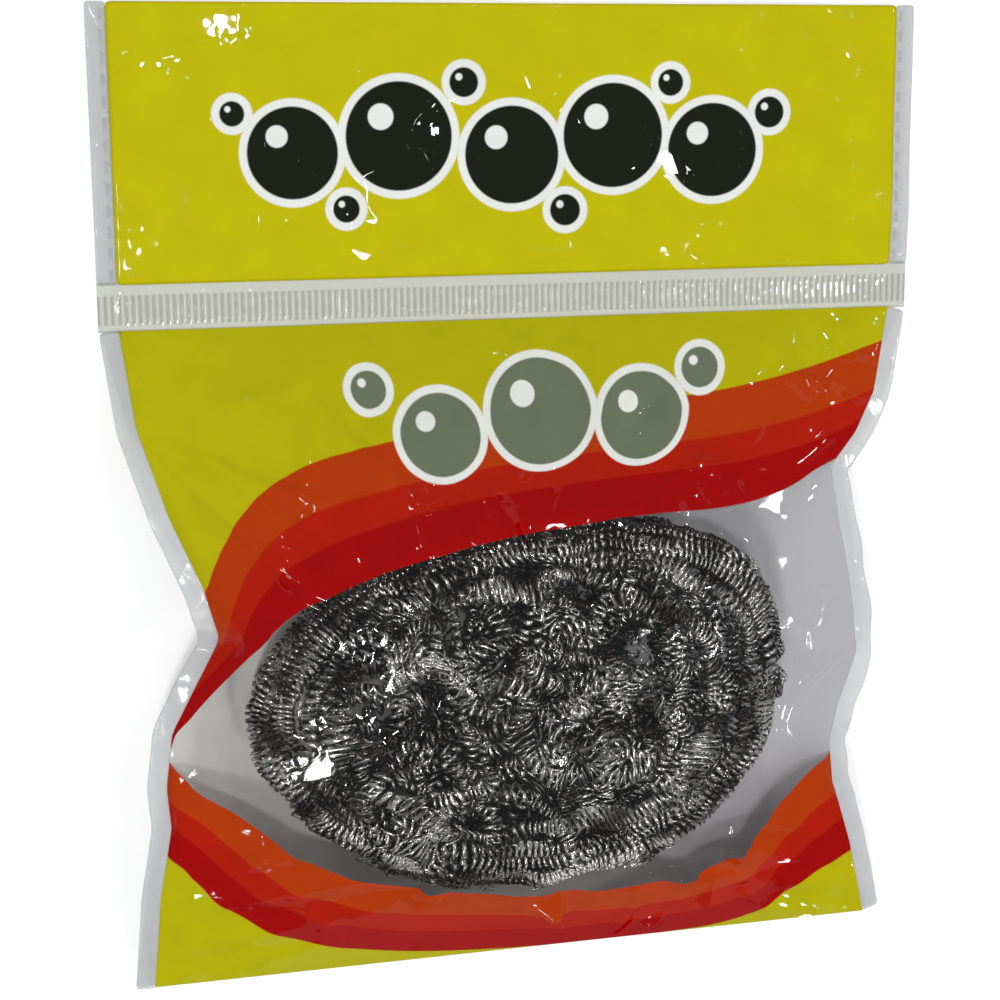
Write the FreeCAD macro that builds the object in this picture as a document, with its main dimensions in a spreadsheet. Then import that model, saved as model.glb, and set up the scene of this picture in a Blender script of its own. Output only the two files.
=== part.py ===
import FreeCAD
import Part
import Sketcher
import math
import os

# Pot scrubber in its film bag: a scourer wound from curled steel strand, sealed in a printed pouch with a header.
# The bag lies on its back. +X runs across the bag, +Y towards the header, +Z up out of the printed front.
# The origin is under the middle of the bag, on the surface it lies on. All sizes are in millimetres.

Vector = FreeCAD.Vector

# Driving dimensions: name, value, what it measures.
SIZES = [
    ("bag_width", 140.0, "bag across the header, over both side welds"),
    ("header_height", 45.0, "header flap above the crimped band"),
    ("band_height", 6.5, "crimped cross weld between header and pouch"),
    ("foot_slack", 19.8, "pouch between the bottom fold and the scourer"),
    ("head_slack", 32.7, "pouch between the scourer and the band"),
    ("foot_tuck", 3.0, "each side of the bag drawn in at the bottom fold"),
    ("weld_width", 3.2, "clear welded strip along each side"),
    ("film", 0.2, "thickness of one layer of film"),
    ("film_gap", 0.1, "clearance between a film edge and its weld"),
    ("crease_gap", 0.8, "soft line between band and header where the header folds"),
    ("fold_radius", 0.6, "outside radius of the bottom fold"),
    ("weld_lift", 0.6, "height of the side welds at both ends of the pouch"),
    ("lip", 0.5, "half the opening between the two films beside a weld"),
    ("end_crown", 0.2, "arch of the front film at both ends of the pouch"),
    ("sole_margin", 8.0, "back film curving up beside the flat sole at both ends"),
    ("rib_pitch", 1.1, "spacing of the crimp ribs"),
    ("rib_width", 0.55, "width of one crimp rib"),
    ("rib_length", 4.6, "length of one crimp rib"),
    ("rib_depth", 0.15, "height of one crimp rib"),
    ("scourer_length", 90.0, "scourer across the bag"),
    ("scourer_height", 61.0, "scourer along the bag"),
    ("scourer_aside", 5.0, "middle of the scourer left of the middle of the bag"),
    ("scourer_turn", 3.0, "lean of the scourer in the bag, in degrees"),
    ("strand", 5.6, "outside diameter of the curled strand"),
    ("strand_gap", 0.7, "clear gap between neighbouring turns of strand"),
    ("wire", 0.6, "wire that the curls are wound from"),
    ("curl_pitch", 2.4, "spacing of the curls along a rim strand"),
    ("rim_break", 1.2, "gap between the ends of two rim strands"),
    ("rest_gap", 0.3, "clearance between scourer and back film"),
    ("crown_slack", 2.4, "slack of the front film over the scourer"),
    ("crown_share", 0.5, "share of the pouch's half width that the flat crown of the front film takes"),
    ("crown_drop", 0.155, "share of the front film's rise that its crown drops before the shoulders begin"),
    ("side_slack", 6.0, "slack of the pouch beside the scourer"),
    ("sole_half", 26.0, "half width of the flat sole under the scourer"),
    ("left_foot_ease", 3.8, "left seam outside the even taper of the pouch, above the bottom fold"),
    ("left_low_ease", 5.4, "left seam outside the even taper, below the scourer's middle"),
    ("left_mid_ease", 4.2, "left seam outside the even taper, at the scourer's middle"),
    ("left_high_ease", -1.6, "left seam outside the even taper, above the scourer's middle"),
    ("left_head_ease", -2.0, "left seam outside the even taper, above the scourer"),
    ("right_foot_ease", -1.3, "right seam outside the even taper of the pouch, above the bottom fold"),
    ("right_low_ease", -3.7, "right seam outside the even taper, below the scourer's middle"),
    ("right_mid_ease", -0.5, "right seam outside the even taper, at the scourer's middle"),
    ("right_high_ease", -1.7, "right seam outside the even taper, above the scourer's middle"),
    ("right_head_ease", -3.6, "right seam outside the even taper, above the scourer"),
]

LAYERS = 4  # layers of strand in the winding
INSET_STEPS = 4  # half turns by which the outer two layers stop short of the inner two
OUTER_WIDE = 0.2  # share of a step added where the winding turns back at its rim and climbs
INNER_WIDE = 0.45  # the same where it turns back at its middle
FOOT_STATIONS = ((0.0, None), (0.35, "foot"), (0.7, "low"))  # film sections from the fold to the scourer's middle
HEAD_STATIONS = ((0.7, "high"), (0.35, "head"), (0.0, None))  # film sections from the scourer's middle to the band
FOOT_CROWN = (2.6, 1.15)  # how the front film's crown falls from the scourer's middle to the fold
HEAD_CROWN = (2.5, 1.25)  # how it falls from there to the band
SAMPLES_PER_EDGE = 12  # points on each edge when a winding's gap to itself is measured

document = FreeCAD.newDocument("bagged_pot_scrubber")
sheet = document.addObject("Spreadsheet::Sheet", "Sizes")
for row, (alias, number, meaning) in enumerate(SIZES, start=1):
    sheet.set(f"A{row}", alias)
    sheet.set(f"B{row}", str(number))
    sheet.setAlias(f"B{row}", alias)
    sheet.set(f"C{row}", meaning)
document.recompute()


def value(expression):
    """Number that an expression over the sheet gives."""
    return float(sheet.evalExpression(expression.replace("Sizes.", "")))


# Places that several pieces share, as expressions over the sheet.
POUCH_HEIGHT = "(Sizes.foot_slack + Sizes.scourer_height + Sizes.head_slack)"
TOTAL = f"(Sizes.header_height + Sizes.band_height + {POUCH_HEIGHT})"
TOP = f"({TOTAL} / 2)"
BAND_TOP = f"({TOP} - Sizes.header_height)"
BAND_FOOT = f"({BAND_TOP} - Sizes.band_height)"
FOOT = f"(-{TOTAL} / 2)"
POUCH_LOW = f"({FOOT} + Sizes.fold_radius + Sizes.film_gap)"
POUCH_HIGH = f"({BAND_FOOT} - Sizes.film_gap)"
SCOURER_Y = f"({FOOT} + Sizes.foot_slack + Sizes.scourer_height / 2)"
STEP = "(Sizes.strand + Sizes.strand_gap)"
SOLE_LIFT = "(Sizes.film / 4)"
WINDING_LOW = f"({SOLE_LIFT} + Sizes.film + Sizes.rest_gap)"
WINDING_TOP = f"({WINDING_LOW} + {LAYERS - 1} * {STEP} + Sizes.strand)"
MIDDLE = f"(({WINDING_LOW} + {WINDING_TOP}) / 2)"
HEADER_HALF = "(Sizes.bag_width / 2 - Sizes.weld_width)"
FOOT_HALF = "(Sizes.bag_width / 2 - Sizes.foot_tuck - Sizes.weld_width)"
WAIST_HALF = "(Sizes.scourer_length / 2 + Sizes.scourer_aside + Sizes.side_slack)"
CROWN = f"({WINDING_TOP} + Sizes.crown_slack)"
END_CROWN = "(Sizes.weld_lift + Sizes.lip + Sizes.end_crown)"


def origin_plane(body, role):
    """One of a body's own origin planes."""
    return next(f for f in body.Origin.OriginFeatures if f.Role == role)


def new_body(label):
    """Empty body for one piece."""
    body = document.addObject("PartDesign::Body", label)
    body.Label = label
    return body


def new_sketch(body, name, role, offset):
    """Sketch on an origin plane of its body, moved along the plane's normal by an expression."""
    sketch = body.newObject("Sketcher::SketchObject", name)
    sketch.AttachmentSupport = [(origin_plane(body, role), "")]
    sketch.MapMode = "FlatFace"
    sketch.setExpression("AttachmentOffset.Base.z", offset)
    return sketch


def dimension(sketch, kind, name, expression, *places):
    """Named dimension of a sketch, bound to an expression over the sheet."""
    index = sketch.addConstraint(Sketcher.Constraint(kind, *places, value(expression)))
    sketch.renameConstraint(index, name)
    sketch.setExpression(f"Constraints.{name}", expression)


def locate(sketch, name, expression, kind, geometry, point):
    """Dimension from the sketch's origin to a point, written the way round that keeps it positive."""
    if value(expression) >= 0:
        dimension(sketch, kind, name, expression, -1, 1, geometry, point)
    else:
        dimension(sketch, kind, name, f"-({expression})", geometry, point, -1, 1)


def rectangle(sketch, low_x, high_x, low_y, high_y):
    """Rectangle whose four sides are placed by expressions."""
    xs = (value(low_x), value(high_x))
    ys = (value(low_y), value(high_y))
    corners = [Vector(xs[0], ys[0]), Vector(xs[1], ys[0]), Vector(xs[1], ys[1]), Vector(xs[0], ys[1])]
    for index in range(4):
        sketch.addGeometry(Part.LineSegment(corners[index], corners[(index + 1) % 4]))
    for index in range(4):
        sketch.addConstraint(Sketcher.Constraint("Coincident", index, 2, (index + 1) % 4, 1))
    for index, direction in enumerate(("Horizontal", "Vertical", "Horizontal", "Vertical")):
        sketch.addConstraint(Sketcher.Constraint(direction, index))
    locate(sketch, "low_x", low_x, "DistanceX", 0, 1)
    locate(sketch, "low_y", low_y, "DistanceY", 0, 1)
    locate(sketch, "high_x", high_x, "DistanceX", 1, 2)
    locate(sketch, "high_y", high_y, "DistanceY", 1, 2)


def flat_piece(label, low_x, high_x, low_y, high_y, low_z, thickness):
    """Flat strip or panel of film, lying at a height."""
    body = new_body(label)
    sketch = new_sketch(body, label + "_outline", "XY_Plane", low_z)
    rectangle(sketch, low_x, high_x, low_y, high_y)
    pad = body.newObject("PartDesign::Pad", label + "_pad")
    pad.Profile = sketch
    pad.setExpression("Length", thickness)
    document.recompute()
    return body


class Station:
    """One section of the pouch: its place along Y, how far it has swollen, and where its two seams run."""

    def __init__(self, place, share, end_half, ease, crown):
        self.place = place
        self.swell = math.sin(share * math.pi / 2)
        away, after = crown
        self.crown_swell = (1 - (1 - share) ** away) ** after
        self.end_half = end_half
        left = f"Sizes.left_{ease}_ease" if ease else "0"
        right = f"Sizes.right_{ease}_ease" if ease else "0"
        self.half = f"({between(end_half, WAIST_HALF, self.swell)} + ({left} + {right}) / 2)"
        self.aside = f"(({right} - {left}) / 2)"


def pouch_stations():
    """Film sections from the bottom fold to the band."""
    stations = []
    for share, ease in FOOT_STATIONS:
        place = f"({POUCH_LOW} + {share} * ({SCOURER_Y} - {POUCH_LOW}))"
        stations.append(Station(place, share, FOOT_HALF, ease, FOOT_CROWN))
    stations.append(Station(SCOURER_Y, 1.0, FOOT_HALF, "mid", FOOT_CROWN))
    for share, ease in HEAD_STATIONS:
        place = f"({POUCH_HIGH} - {share} * ({POUCH_HIGH} - {SCOURER_Y}))"
        stations.append(Station(place, share, HEADER_HALF, ease, HEAD_CROWN))
    return stations


def between(at_end, at_middle, swell):
    """Expression for a size that goes from its value at a pouch end to its value over the scourer."""
    return f"({at_end} + {swell:.4f} * ({at_middle} - {at_end}))"


def weld_height(swell):
    """Expression for the height of the side welds."""
    return between("Sizes.weld_lift", MIDDLE, swell)


def front_section(sketch, half, weld, crown):
    """Thin front film from weld to weld: a flat crown with a rounder shoulder down to each side."""
    foot = f"({weld} + Sizes.lip)"
    reach = f"(Sizes.crown_share * {half})"
    drop = f"(Sizes.crown_drop * ({crown} - {foot}))"
    radius = f"(({reach} * {reach} + {drop} * {drop}) / (2 * {drop}))"
    wide, low, thick = value(half), value(foot), value("Sizes.film")
    crown_radius = value(radius)
    lean = math.asin(value(reach) / crown_radius)
    bend = Vector(value(reach), value(crown) - value(drop))
    inward = Vector(-math.sin(lean), -math.cos(lean))
    chord = Vector(wide, low) - bend
    shoulder_radius = chord.dot(chord) / (2 * chord.dot(inward))
    middle = bend + inward * shoulder_radius
    crown_middle = Vector(0, value(crown) - crown_radius)
    ends = []
    for slim in (0.0, thick):
        size = shoulder_radius - slim
        end = math.acos((wide - middle.x) / size)
        crown_arc = Part.Circle(crown_middle, Vector(0, 0, 1), crown_radius - slim)
        right = Part.Circle(middle, Vector(0, 0, 1), size)
        left = Part.Circle(Vector(-middle.x, middle.y), Vector(0, 0, 1), size)
        sketch.addGeometry(Part.ArcOfCircle(crown_arc, math.pi / 2 - lean, math.pi / 2 + lean))
        sketch.addGeometry(Part.ArcOfCircle(right, end, math.pi / 2 - lean))
        sketch.addGeometry(Part.ArcOfCircle(left, math.pi / 2 + lean, math.pi - end))
        ends.append(middle.y + size * math.sin(end))
    for side in (1, -1):
        sketch.addGeometry(Part.LineSegment(Vector(side * wide, ends[0]), Vector(side * wide, ends[1])))
    for crown_arc, right, left in ((0, 1, 2), (3, 4, 5)):
        sketch.addConstraint(Sketcher.Constraint("Tangent", crown_arc, 1, right, 2))
        sketch.addConstraint(Sketcher.Constraint("Tangent", crown_arc, 2, left, 1))
    for end_line, outer_arc, inner_arc, end in ((6, 1, 4, 1), (7, 2, 5, 2)):
        sketch.addConstraint(Sketcher.Constraint("Coincident", end_line, 1, outer_arc, end))
        sketch.addConstraint(Sketcher.Constraint("Coincident", end_line, 2, inner_arc, end))
        sketch.addConstraint(Sketcher.Constraint("Vertical", end_line))
    for outer_arc, inner_arc in ((0, 3), (1, 4), (2, 5)):
        sketch.addConstraint(Sketcher.Constraint("Coincident", outer_arc, 3, inner_arc, 3))
    sketch.addConstraint(Sketcher.Constraint("PointOnObject", 0, 3, -2))
    sketch.addConstraint(Sketcher.Constraint("Horizontal", 0, 1, 0, 2))
    sketch.addConstraint(Sketcher.Constraint("Symmetric", 1, 1, 2, 2, -2))
    dimension(sketch, "DistanceX", "half_width", half, -1, 1, 1, 1)
    dimension(sketch, "DistanceY", "foot_height", foot, -1, 1, 1, 1)
    dimension(sketch, "DistanceX", "crown_reach", reach, -1, 1, 0, 1)
    dimension(sketch, "DistanceY", "shoulder_height", f"{crown} - {drop}", -1, 1, 0, 1)
    dimension(sketch, "Radius", "crown_radius", radius, 0)
    dimension(sketch, "Radius", "inner_radius", f"{radius} - Sizes.film", 3)


def back_section(sketch, half, weld, sole):
    """Thin tray of the back film: a flat sole with a curved side up to each weld."""
    edge = f"({weld} - Sizes.lip)"
    flat, wide, high = value(sole), value(half), value(edge)
    thick, lift = value("Sizes.film"), value(SOLE_LIFT)
    outer = ((wide - flat) ** 2 + (high - lift) ** 2) / (2 * (high - lift))
    for level, size in ((lift, outer), (lift + thick, outer - thick)):
        sweep = math.asin((wide - flat) / size)
        right = Part.Circle(Vector(flat, lift + outer), Vector(0, 0, 1), size)
        left = Part.Circle(Vector(-flat, lift + outer), Vector(0, 0, 1), size)
        sketch.addGeometry(Part.LineSegment(Vector(-flat, level), Vector(flat, level)))
        sketch.addGeometry(Part.ArcOfCircle(right, -math.pi / 2, sweep - math.pi / 2))
        sketch.addGeometry(Part.ArcOfCircle(left, -math.pi / 2 - sweep, -math.pi / 2))
    lip_rise = lift + outer - math.sqrt((outer - thick) ** 2 - (wide - flat) ** 2)
    for side in (1, -1):
        sketch.addGeometry(Part.LineSegment(Vector(side * wide, high), Vector(side * wide, lip_rise)))
    for line, right, left in ((0, 1, 2), (3, 4, 5)):
        sketch.addConstraint(Sketcher.Constraint("Tangent", line, 2, right, 1))
        sketch.addConstraint(Sketcher.Constraint("Tangent", line, 1, left, 2))
    for end_line, outer_arc, inner_arc, end in ((6, 1, 4, 2), (7, 2, 5, 1)):
        sketch.addConstraint(Sketcher.Constraint("Coincident", end_line, 1, outer_arc, end))
        sketch.addConstraint(Sketcher.Constraint("Coincident", end_line, 2, inner_arc, end))
        sketch.addConstraint(Sketcher.Constraint("Vertical", end_line))
        sketch.addConstraint(Sketcher.Constraint("Coincident", outer_arc, 3, inner_arc, 3))
    sketch.addConstraint(Sketcher.Constraint("Symmetric", 0, 1, 0, 2, -2))
    sketch.addConstraint(Sketcher.Constraint("Symmetric", 1, 2, 2, 1, -2))
    sketch.addConstraint(Sketcher.Constraint("Horizontal", 3))
    dimension(sketch, "DistanceX", "sole", sole, -1, 1, 0, 2)
    dimension(sketch, "DistanceX", "half_width", half, -1, 1, 1, 2)
    dimension(sketch, "DistanceY", "edge_height", edge, -1, 1, 1, 2)
    dimension(sketch, "DistanceY", "lift", SOLE_LIFT, -1, 1, 0, 1)
    dimension(sketch, "DistanceY", "thickness", "Sizes.film", 0, 1, 3, 1)


def pouch_loft(label, draw_section):
    """Smooth film or weld piece through one section at each pouch station."""
    body = new_body(label)
    sections = []
    for number, station in enumerate(pouch_stations()):
        sketch = new_sketch(body, f"{label}_section_{number}", "XZ_Plane", f"-{station.place}")
        sketch.setExpression("AttachmentOffset.Base.x", station.aside)
        draw_section(sketch, station)
        sections.append(sketch)
    document.recompute()
    loft = body.newObject("PartDesign::AdditiveLoft", label + "_loft")
    loft.Profile = sections[0]
    loft.Sections = sections[1:]
    loft.Ruled = False
    document.recompute()
    return body


def draw_front(sketch, station):
    """Section of the front film at one station."""
    front_section(sketch, station.half, weld_height(station.swell), between(END_CROWN, CROWN, station.crown_swell))


def draw_back(sketch, station):
    """Section of the back film at one station."""
    sole = between(f"({station.end_half} - Sizes.sole_margin)", "Sizes.sole_half", station.swell)
    back_section(sketch, station.half, weld_height(station.swell), sole)


def draw_weld(side):
    """Function that draws the section of one side weld at a station."""

    def draw(sketch, station):
        inner = f"({station.half} + Sizes.film_gap)"
        outer = f"({station.half} + Sizes.weld_width)"
        low = f"({weld_height(station.swell)} - Sizes.film)"
        high = f"({weld_height(station.swell)} + Sizes.film)"
        if side > 0:
            rectangle(sketch, inner, outer, low, high)
        else:
            rectangle(sketch, f"(-{outer})", f"(-{inner})", low, high)

    return draw


def back_film():
    """Back film of the pouch, with a flat sole under the scourer that the bag lies on."""
    label = "pouch_back_film"
    body = pouch_loft(label, draw_back)
    sketch = new_sketch(body, "sole_outline", "XY_Plane", "0")
    reach = "(Sizes.scourer_height / 4)"
    rectangle(sketch, "(-Sizes.sole_half)", "Sizes.sole_half", f"({SCOURER_Y} - {reach})", f"({SCOURER_Y} + {reach})")
    pad = body.newObject("PartDesign::Pad", "sole")
    pad.Profile = sketch
    pad.setExpression("Length", "Sizes.film")
    document.recompute()
    return body


def crimped_band():
    """Cross weld: a flat strip with a row of upright crimp ribs on its front."""
    body = flat_piece("crimped_band", "(-Sizes.bag_width / 2)", "(Sizes.bag_width / 2)",
                      BAND_FOOT, BAND_TOP, "0", "2 * Sizes.film")
    middle = f"(({BAND_FOOT} + {BAND_TOP}) / 2)"
    first = f"(-{HEADER_HALF} + Sizes.rib_pitch / 2)"
    sketch = new_sketch(body, "rib_outline", "XY_Plane", "2 * Sizes.film")
    rectangle(sketch, first, f"({first} + Sizes.rib_width)",
              f"({middle} - Sizes.rib_length / 2)", f"({middle} + Sizes.rib_length / 2)")
    rib = body.newObject("PartDesign::Pad", "rib")
    rib.Profile = sketch
    rib.setExpression("Length", "Sizes.rib_depth")
    document.recompute()
    ribs = body.newObject("PartDesign::LinearPattern", "ribs")
    ribs.Originals = [rib]
    ribs.Direction = (sketch, ["H_Axis"])
    count = f"floor((2 * {HEADER_HALF} - Sizes.rib_width) / Sizes.rib_pitch)"
    ribs.setExpression("Occurrences", count)
    ribs.setExpression("Length", f"({count} - 1) * Sizes.rib_pitch")
    body.Tip = ribs
    document.recompute()
    return body


def bottom_fold():
    """Half round fold at the foot of the bag where the front film turns into the back film."""
    label = "bottom_fold"
    body = new_body(label)
    sketch = new_sketch(body, label + "_profile", "YZ_Plane", f"(-{FOOT_HALF})")
    outer, thick = value("Sizes.fold_radius"), value("Sizes.film")
    centre = Vector(value(f"({FOOT} + Sizes.fold_radius)"), outer)
    for size in (outer, outer - thick):
        circle = Part.Circle(centre, Vector(0, 0, 1), size)
        sketch.addGeometry(Part.ArcOfCircle(circle, math.pi / 2, 3 * math.pi / 2))
    for side in (1, -1):
        sketch.addGeometry(Part.LineSegment(centre + Vector(0, side * outer), centre + Vector(0, side * (outer - thick))))
    for line, end in ((2, 1), (3, 2)):
        sketch.addConstraint(Sketcher.Constraint("Coincident", line, 1, 0, end))
        sketch.addConstraint(Sketcher.Constraint("Coincident", line, 2, 1, end))
        sketch.addConstraint(Sketcher.Constraint("Vertical", line))
    sketch.addConstraint(Sketcher.Constraint("Coincident", 0, 3, 1, 3))
    sketch.addConstraint(Sketcher.Constraint("Vertical", 0, 3, 0, 1))
    locate(sketch, "centre_y", f"({FOOT} + Sizes.fold_radius)", "DistanceX", 0, 3)
    dimension(sketch, "DistanceY", "centre_z", "Sizes.fold_radius", -1, 1, 0, 3)
    dimension(sketch, "Radius", "outer_radius", "Sizes.fold_radius", 0)
    dimension(sketch, "Radius", "inner_radius", "Sizes.fold_radius - Sizes.film", 1)
    pad = body.newObject("PartDesign::Pad", label + "_pad")
    pad.Profile = sketch
    pad.setExpression("Length", f"2 * {FOOT_HALF}")
    document.recompute()
    return body


def arc_edge(start, tangent, end):
    """Circular arc that leaves start along tangent and stops at end."""
    chord = end - start
    along = Vector(chord).normalize()
    across = tangent - along * tangent.dot(along)
    lean = math.atan2(across.Length, tangent.dot(along))
    middle = (start + end) * 0.5 + across.normalize() * (chord.Length / 2 * math.tan(lean / 2))
    return Part.Arc(start, middle, end).toShape()


def biarc(start, start_tangent, end, end_tangent):
    """Two arcs that join two points with the given tangents, smooth where they meet."""
    span = end - start
    both = start_tangent + end_tangent
    spread = 2 * (1 - start_tangent.dot(end_tangent))
    reach = (math.sqrt(both.dot(span) ** 2 + spread * span.dot(span)) - both.dot(span)) / spread
    near = start + start_tangent * reach
    far = end - end_tangent * reach
    meet = (near + far) * 0.5
    return [arc_edge(start, start_tangent, meet), arc_edge(meet, (far - near).normalize(), end)]


def tube(edges, diameter):
    """Round tube along a smooth chain of edges."""
    spine = Part.Wire(edges)
    start = edges[0].valueAt(edges[0].FirstParameter)
    normal = edges[0].tangentAt(edges[0].FirstParameter)
    section = Part.Wire([Part.Circle(start, normal, diameter / 2).toShape()])
    shell = Part.BRepOffsetAPI.MakePipeShell(spine)
    shell.add(section)
    shell.build()
    shell.makeSolid()
    solid = shell.shape()
    ideal = spine.Length * math.pi * diameter ** 2 / 4
    print(f"  tube length {spine.Length:.1f} mm, volume is {solid.Volume / ideal:.4f} of section times length")
    return solid


def least_gap(edges, diameter):
    """Least clear gap between stretches of one tube that are not neighbours along it."""
    points, along, travelled = [], [], 0.0
    for edge in edges:
        for point in edge.discretize(SAMPLES_PER_EDGE)[:-1]:
            points.append(point)
        for index in range(SAMPLES_PER_EDGE - 1):
            along.append(travelled + edge.Length * index / (SAMPLES_PER_EDGE - 1))
        travelled += edge.Length
    least = math.inf
    for index, point in enumerate(points):
        for other in range(index + 1, len(points)):
            if along[other] - along[index] < 2.5 * diameter:
                continue
            if abs(points[other].z - point.z) < least and abs(points[other].x - point.x) < least:
                least = min(least, point.distanceToPoint(points[other]))
    return least - diameter


def scourer_frame():
    """Placement of the scourer in the bag."""
    turn = FreeCAD.Rotation(Vector(0, 0, 1), value("Sizes.scourer_turn"))
    return FreeCAD.Placement(Vector(-value("Sizes.scourer_aside"), value(SCOURER_Y), value(MIDDLE)), turn)


def winding_runs(outer_run, step):
    """Straight runs of the winding in order: distance from the middle line and layer."""
    steps = int((outer_run - value("Sizes.strand") / 2) / (step / 2))
    inset = min(INSET_STEPS, steps - 2)
    inward = [outer_run - step / 2 * index for index in range(steps + 1)]
    inward[0] += OUTER_WIDE * step
    inward[-1] -= INNER_WIDE * step
    outward = list(reversed(inward))
    runs = [(place, 0) for place in inward[inset:]]
    runs += [(place, 1) for place in outward]
    runs += [(place, 2) for place in inward]
    runs += [(place, 3) for place in outward[:len(outward) - inset]]
    return runs


def winding():
    """Inner turns of strand: one tube that spirals in and out through the layers and climbs where it turns back."""
    strand, step = value("Sizes.strand"), value(STEP)
    rim_run = (value("Sizes.scourer_height") - strand) / 2
    half_run = (value("Sizes.scourer_length") - value("Sizes.scourer_height")) / 2
    runs = winding_runs(rim_run - (1 + OUTER_WIDE) * step, step)
    edges, last = [], None
    for number, (place, layer) in enumerate(runs):
        side = -1 if number % 2 == 0 else 1
        height = (layer - (LAYERS - 1) / 2) * step
        start = Vector(side * half_run, side * place, height)
        end = Vector(-side * half_run, side * place, height)
        if last is not None:
            turn = (last + start) * 0.5 + Vector(side * (start - last).Length / 2, 0, 0)
            edges.append(Part.Arc(last, turn, start).toShape())
        edges.append(Part.LineSegment(start, end).toShape())
        last = end
    feature = document.addObject("Part::Feature", "inner_winding")
    feature.Label = "inner_winding"
    print(f"inner_winding: {len(runs) / 2:.1f} loops, least gap {least_gap(edges, strand):.2f} mm")
    feature.Shape = tube(edges, strand)
    feature.Placement = scourer_frame()
    return feature


def curl_points(route, length, curls):
    """Points and tangents every half turn of curls wound round a route."""
    radius = (value("Sizes.strand") - value("Sizes.wire")) / 2
    up = Vector(0, 0, 1)
    count = 2 * curls
    nudge = length / count / 100
    places = []
    for index in range(count + 1):
        around = math.pi * index

        def point(shift):
            centre, outward = route(length * index / count + shift)
            angle = around + math.pi * shift * count / length
            return centre + outward * (radius * math.cos(angle)) + up * (radius * math.sin(angle))

        places.append((point(0), (point(nudge) - point(-nudge)).normalize()))
    return places


def rim_strand(label, route, length):
    """Outermost turn of strand, drawn with its curls, along part of the scourer's rim."""
    curls = round(length / value("Sizes.curl_pitch"))
    places = curl_points(route, length, curls)
    edges = []
    for (start, start_tangent), (end, end_tangent) in zip(places, places[1:]):
        edges += biarc(start, start_tangent, end, end_tangent)
    wire = value("Sizes.wire")
    feature = document.addObject("Part::Feature", label)
    feature.Label = label
    print(f"{label}: {curls} curls, least gap {least_gap(edges, wire):.2f} mm")
    feature.Shape = tube(edges, wire)
    feature.Placement = scourer_frame()
    return feature


def rim_strands():
    """Four stretches of curled strand round the scourer's rim: two bends and two straights."""
    rim_run = (value("Sizes.scourer_height") - value("Sizes.strand")) / 2
    half_run = (value("Sizes.scourer_length") - value("Sizes.scourer_height")) / 2
    half_break = value("Sizes.rim_break") / 2
    made = []
    for label, side in (("rim_curls_right", 1), ("rim_curls_left", -1)):

        def bend(distance, side=side):
            angle = (distance + half_break) / rim_run - math.pi / 2
            outward = Vector(side * math.cos(angle), side * math.sin(angle), 0)
            return Vector(side * half_run, 0, 0) + outward * rim_run, outward

        made.append(rim_strand(label, bend, math.pi * rim_run - 2 * half_break))
    for label, side in (("rim_curls_upper", 1), ("rim_curls_lower", -1)):

        def straight(distance, side=side):
            outward = Vector(0, side, 0)
            return Vector(side * (half_run - half_break - distance), side * rim_run, 0), outward

        made.append(rim_strand(label, straight, 2 * half_run - 2 * half_break))
    return made


def header_pieces():
    """Header flap: two flat films and a weld along each side."""
    low = f"({BAND_TOP} + Sizes.crease_gap)"
    film_edge = HEADER_HALF
    weld_inner = f"({HEADER_HALF} + Sizes.film_gap)"
    edge = "(Sizes.bag_width / 2)"
    return [
        flat_piece("header_back_film", f"(-{film_edge})", film_edge, low, TOP, "0", "Sizes.film"),
        flat_piece("header_front_film", f"(-{film_edge})", film_edge, low, TOP, "Sizes.film", "Sizes.film"),
        flat_piece("header_left_weld", f"(-{edge})", f"(-{weld_inner})", low, TOP, "0", "2 * Sizes.film"),
        flat_piece("header_right_weld", weld_inner, edge, low, TOP, "0", "2 * Sizes.film"),
    ]


def pouch_pieces():
    """Pouch: domed front film, trayed back film, both side welds, the bottom fold and the crimped band."""
    return [
        pouch_loft("pouch_front_film", draw_front),
        back_film(),
        pouch_loft("pouch_left_weld", draw_weld(-1)),
        pouch_loft("pouch_right_weld", draw_weld(1)),
        bottom_fold(),
        crimped_band(),
    ]


def check_document():
    """Stops if any object of the document failed to build."""
    document.recompute()
    for item in document.Objects:
        if "Invalid" in item.State or "Error" in item.State:
            raise RuntimeError(f"{item.Label} failed: {item.State}")


def write_parts(pieces):
    """Checks each piece's shape and writes them all as STEP files."""
    for piece in pieces:
        shape = piece.Shape
        if shape.isNull() or not shape.isValid() or shape.Volume <= 0 or not shape.Solids:
            raise RuntimeError(f"{piece.Label} has no valid solid")
    os.makedirs("parts", exist_ok=True)
    for piece in pieces:
        piece.Shape.exportStep(f"parts/{piece.Label}.step")
        box = piece.Shape.BoundBox
        print(f"{piece.Label}: {box.XLength:.1f} x {box.YLength:.1f} x {box.ZLength:.1f} mm, "
              f"z {box.ZMin:.2f} to {box.ZMax:.2f}, {piece.Shape.Volume:.1f} mm3")


pieces = pouch_pieces() + header_pieces() + [winding()] + rim_strands()
check_document()
write_parts(pieces)
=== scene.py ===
"""Dresses the bagged pot scrubber: a printed film bag with its welds, and the curled steel scourer inside it."""

import logging
import math
import random
from dataclasses import dataclass, field
from enum import Enum

import bmesh
import bpy
from mathutils import Matrix, Vector, noise


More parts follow.
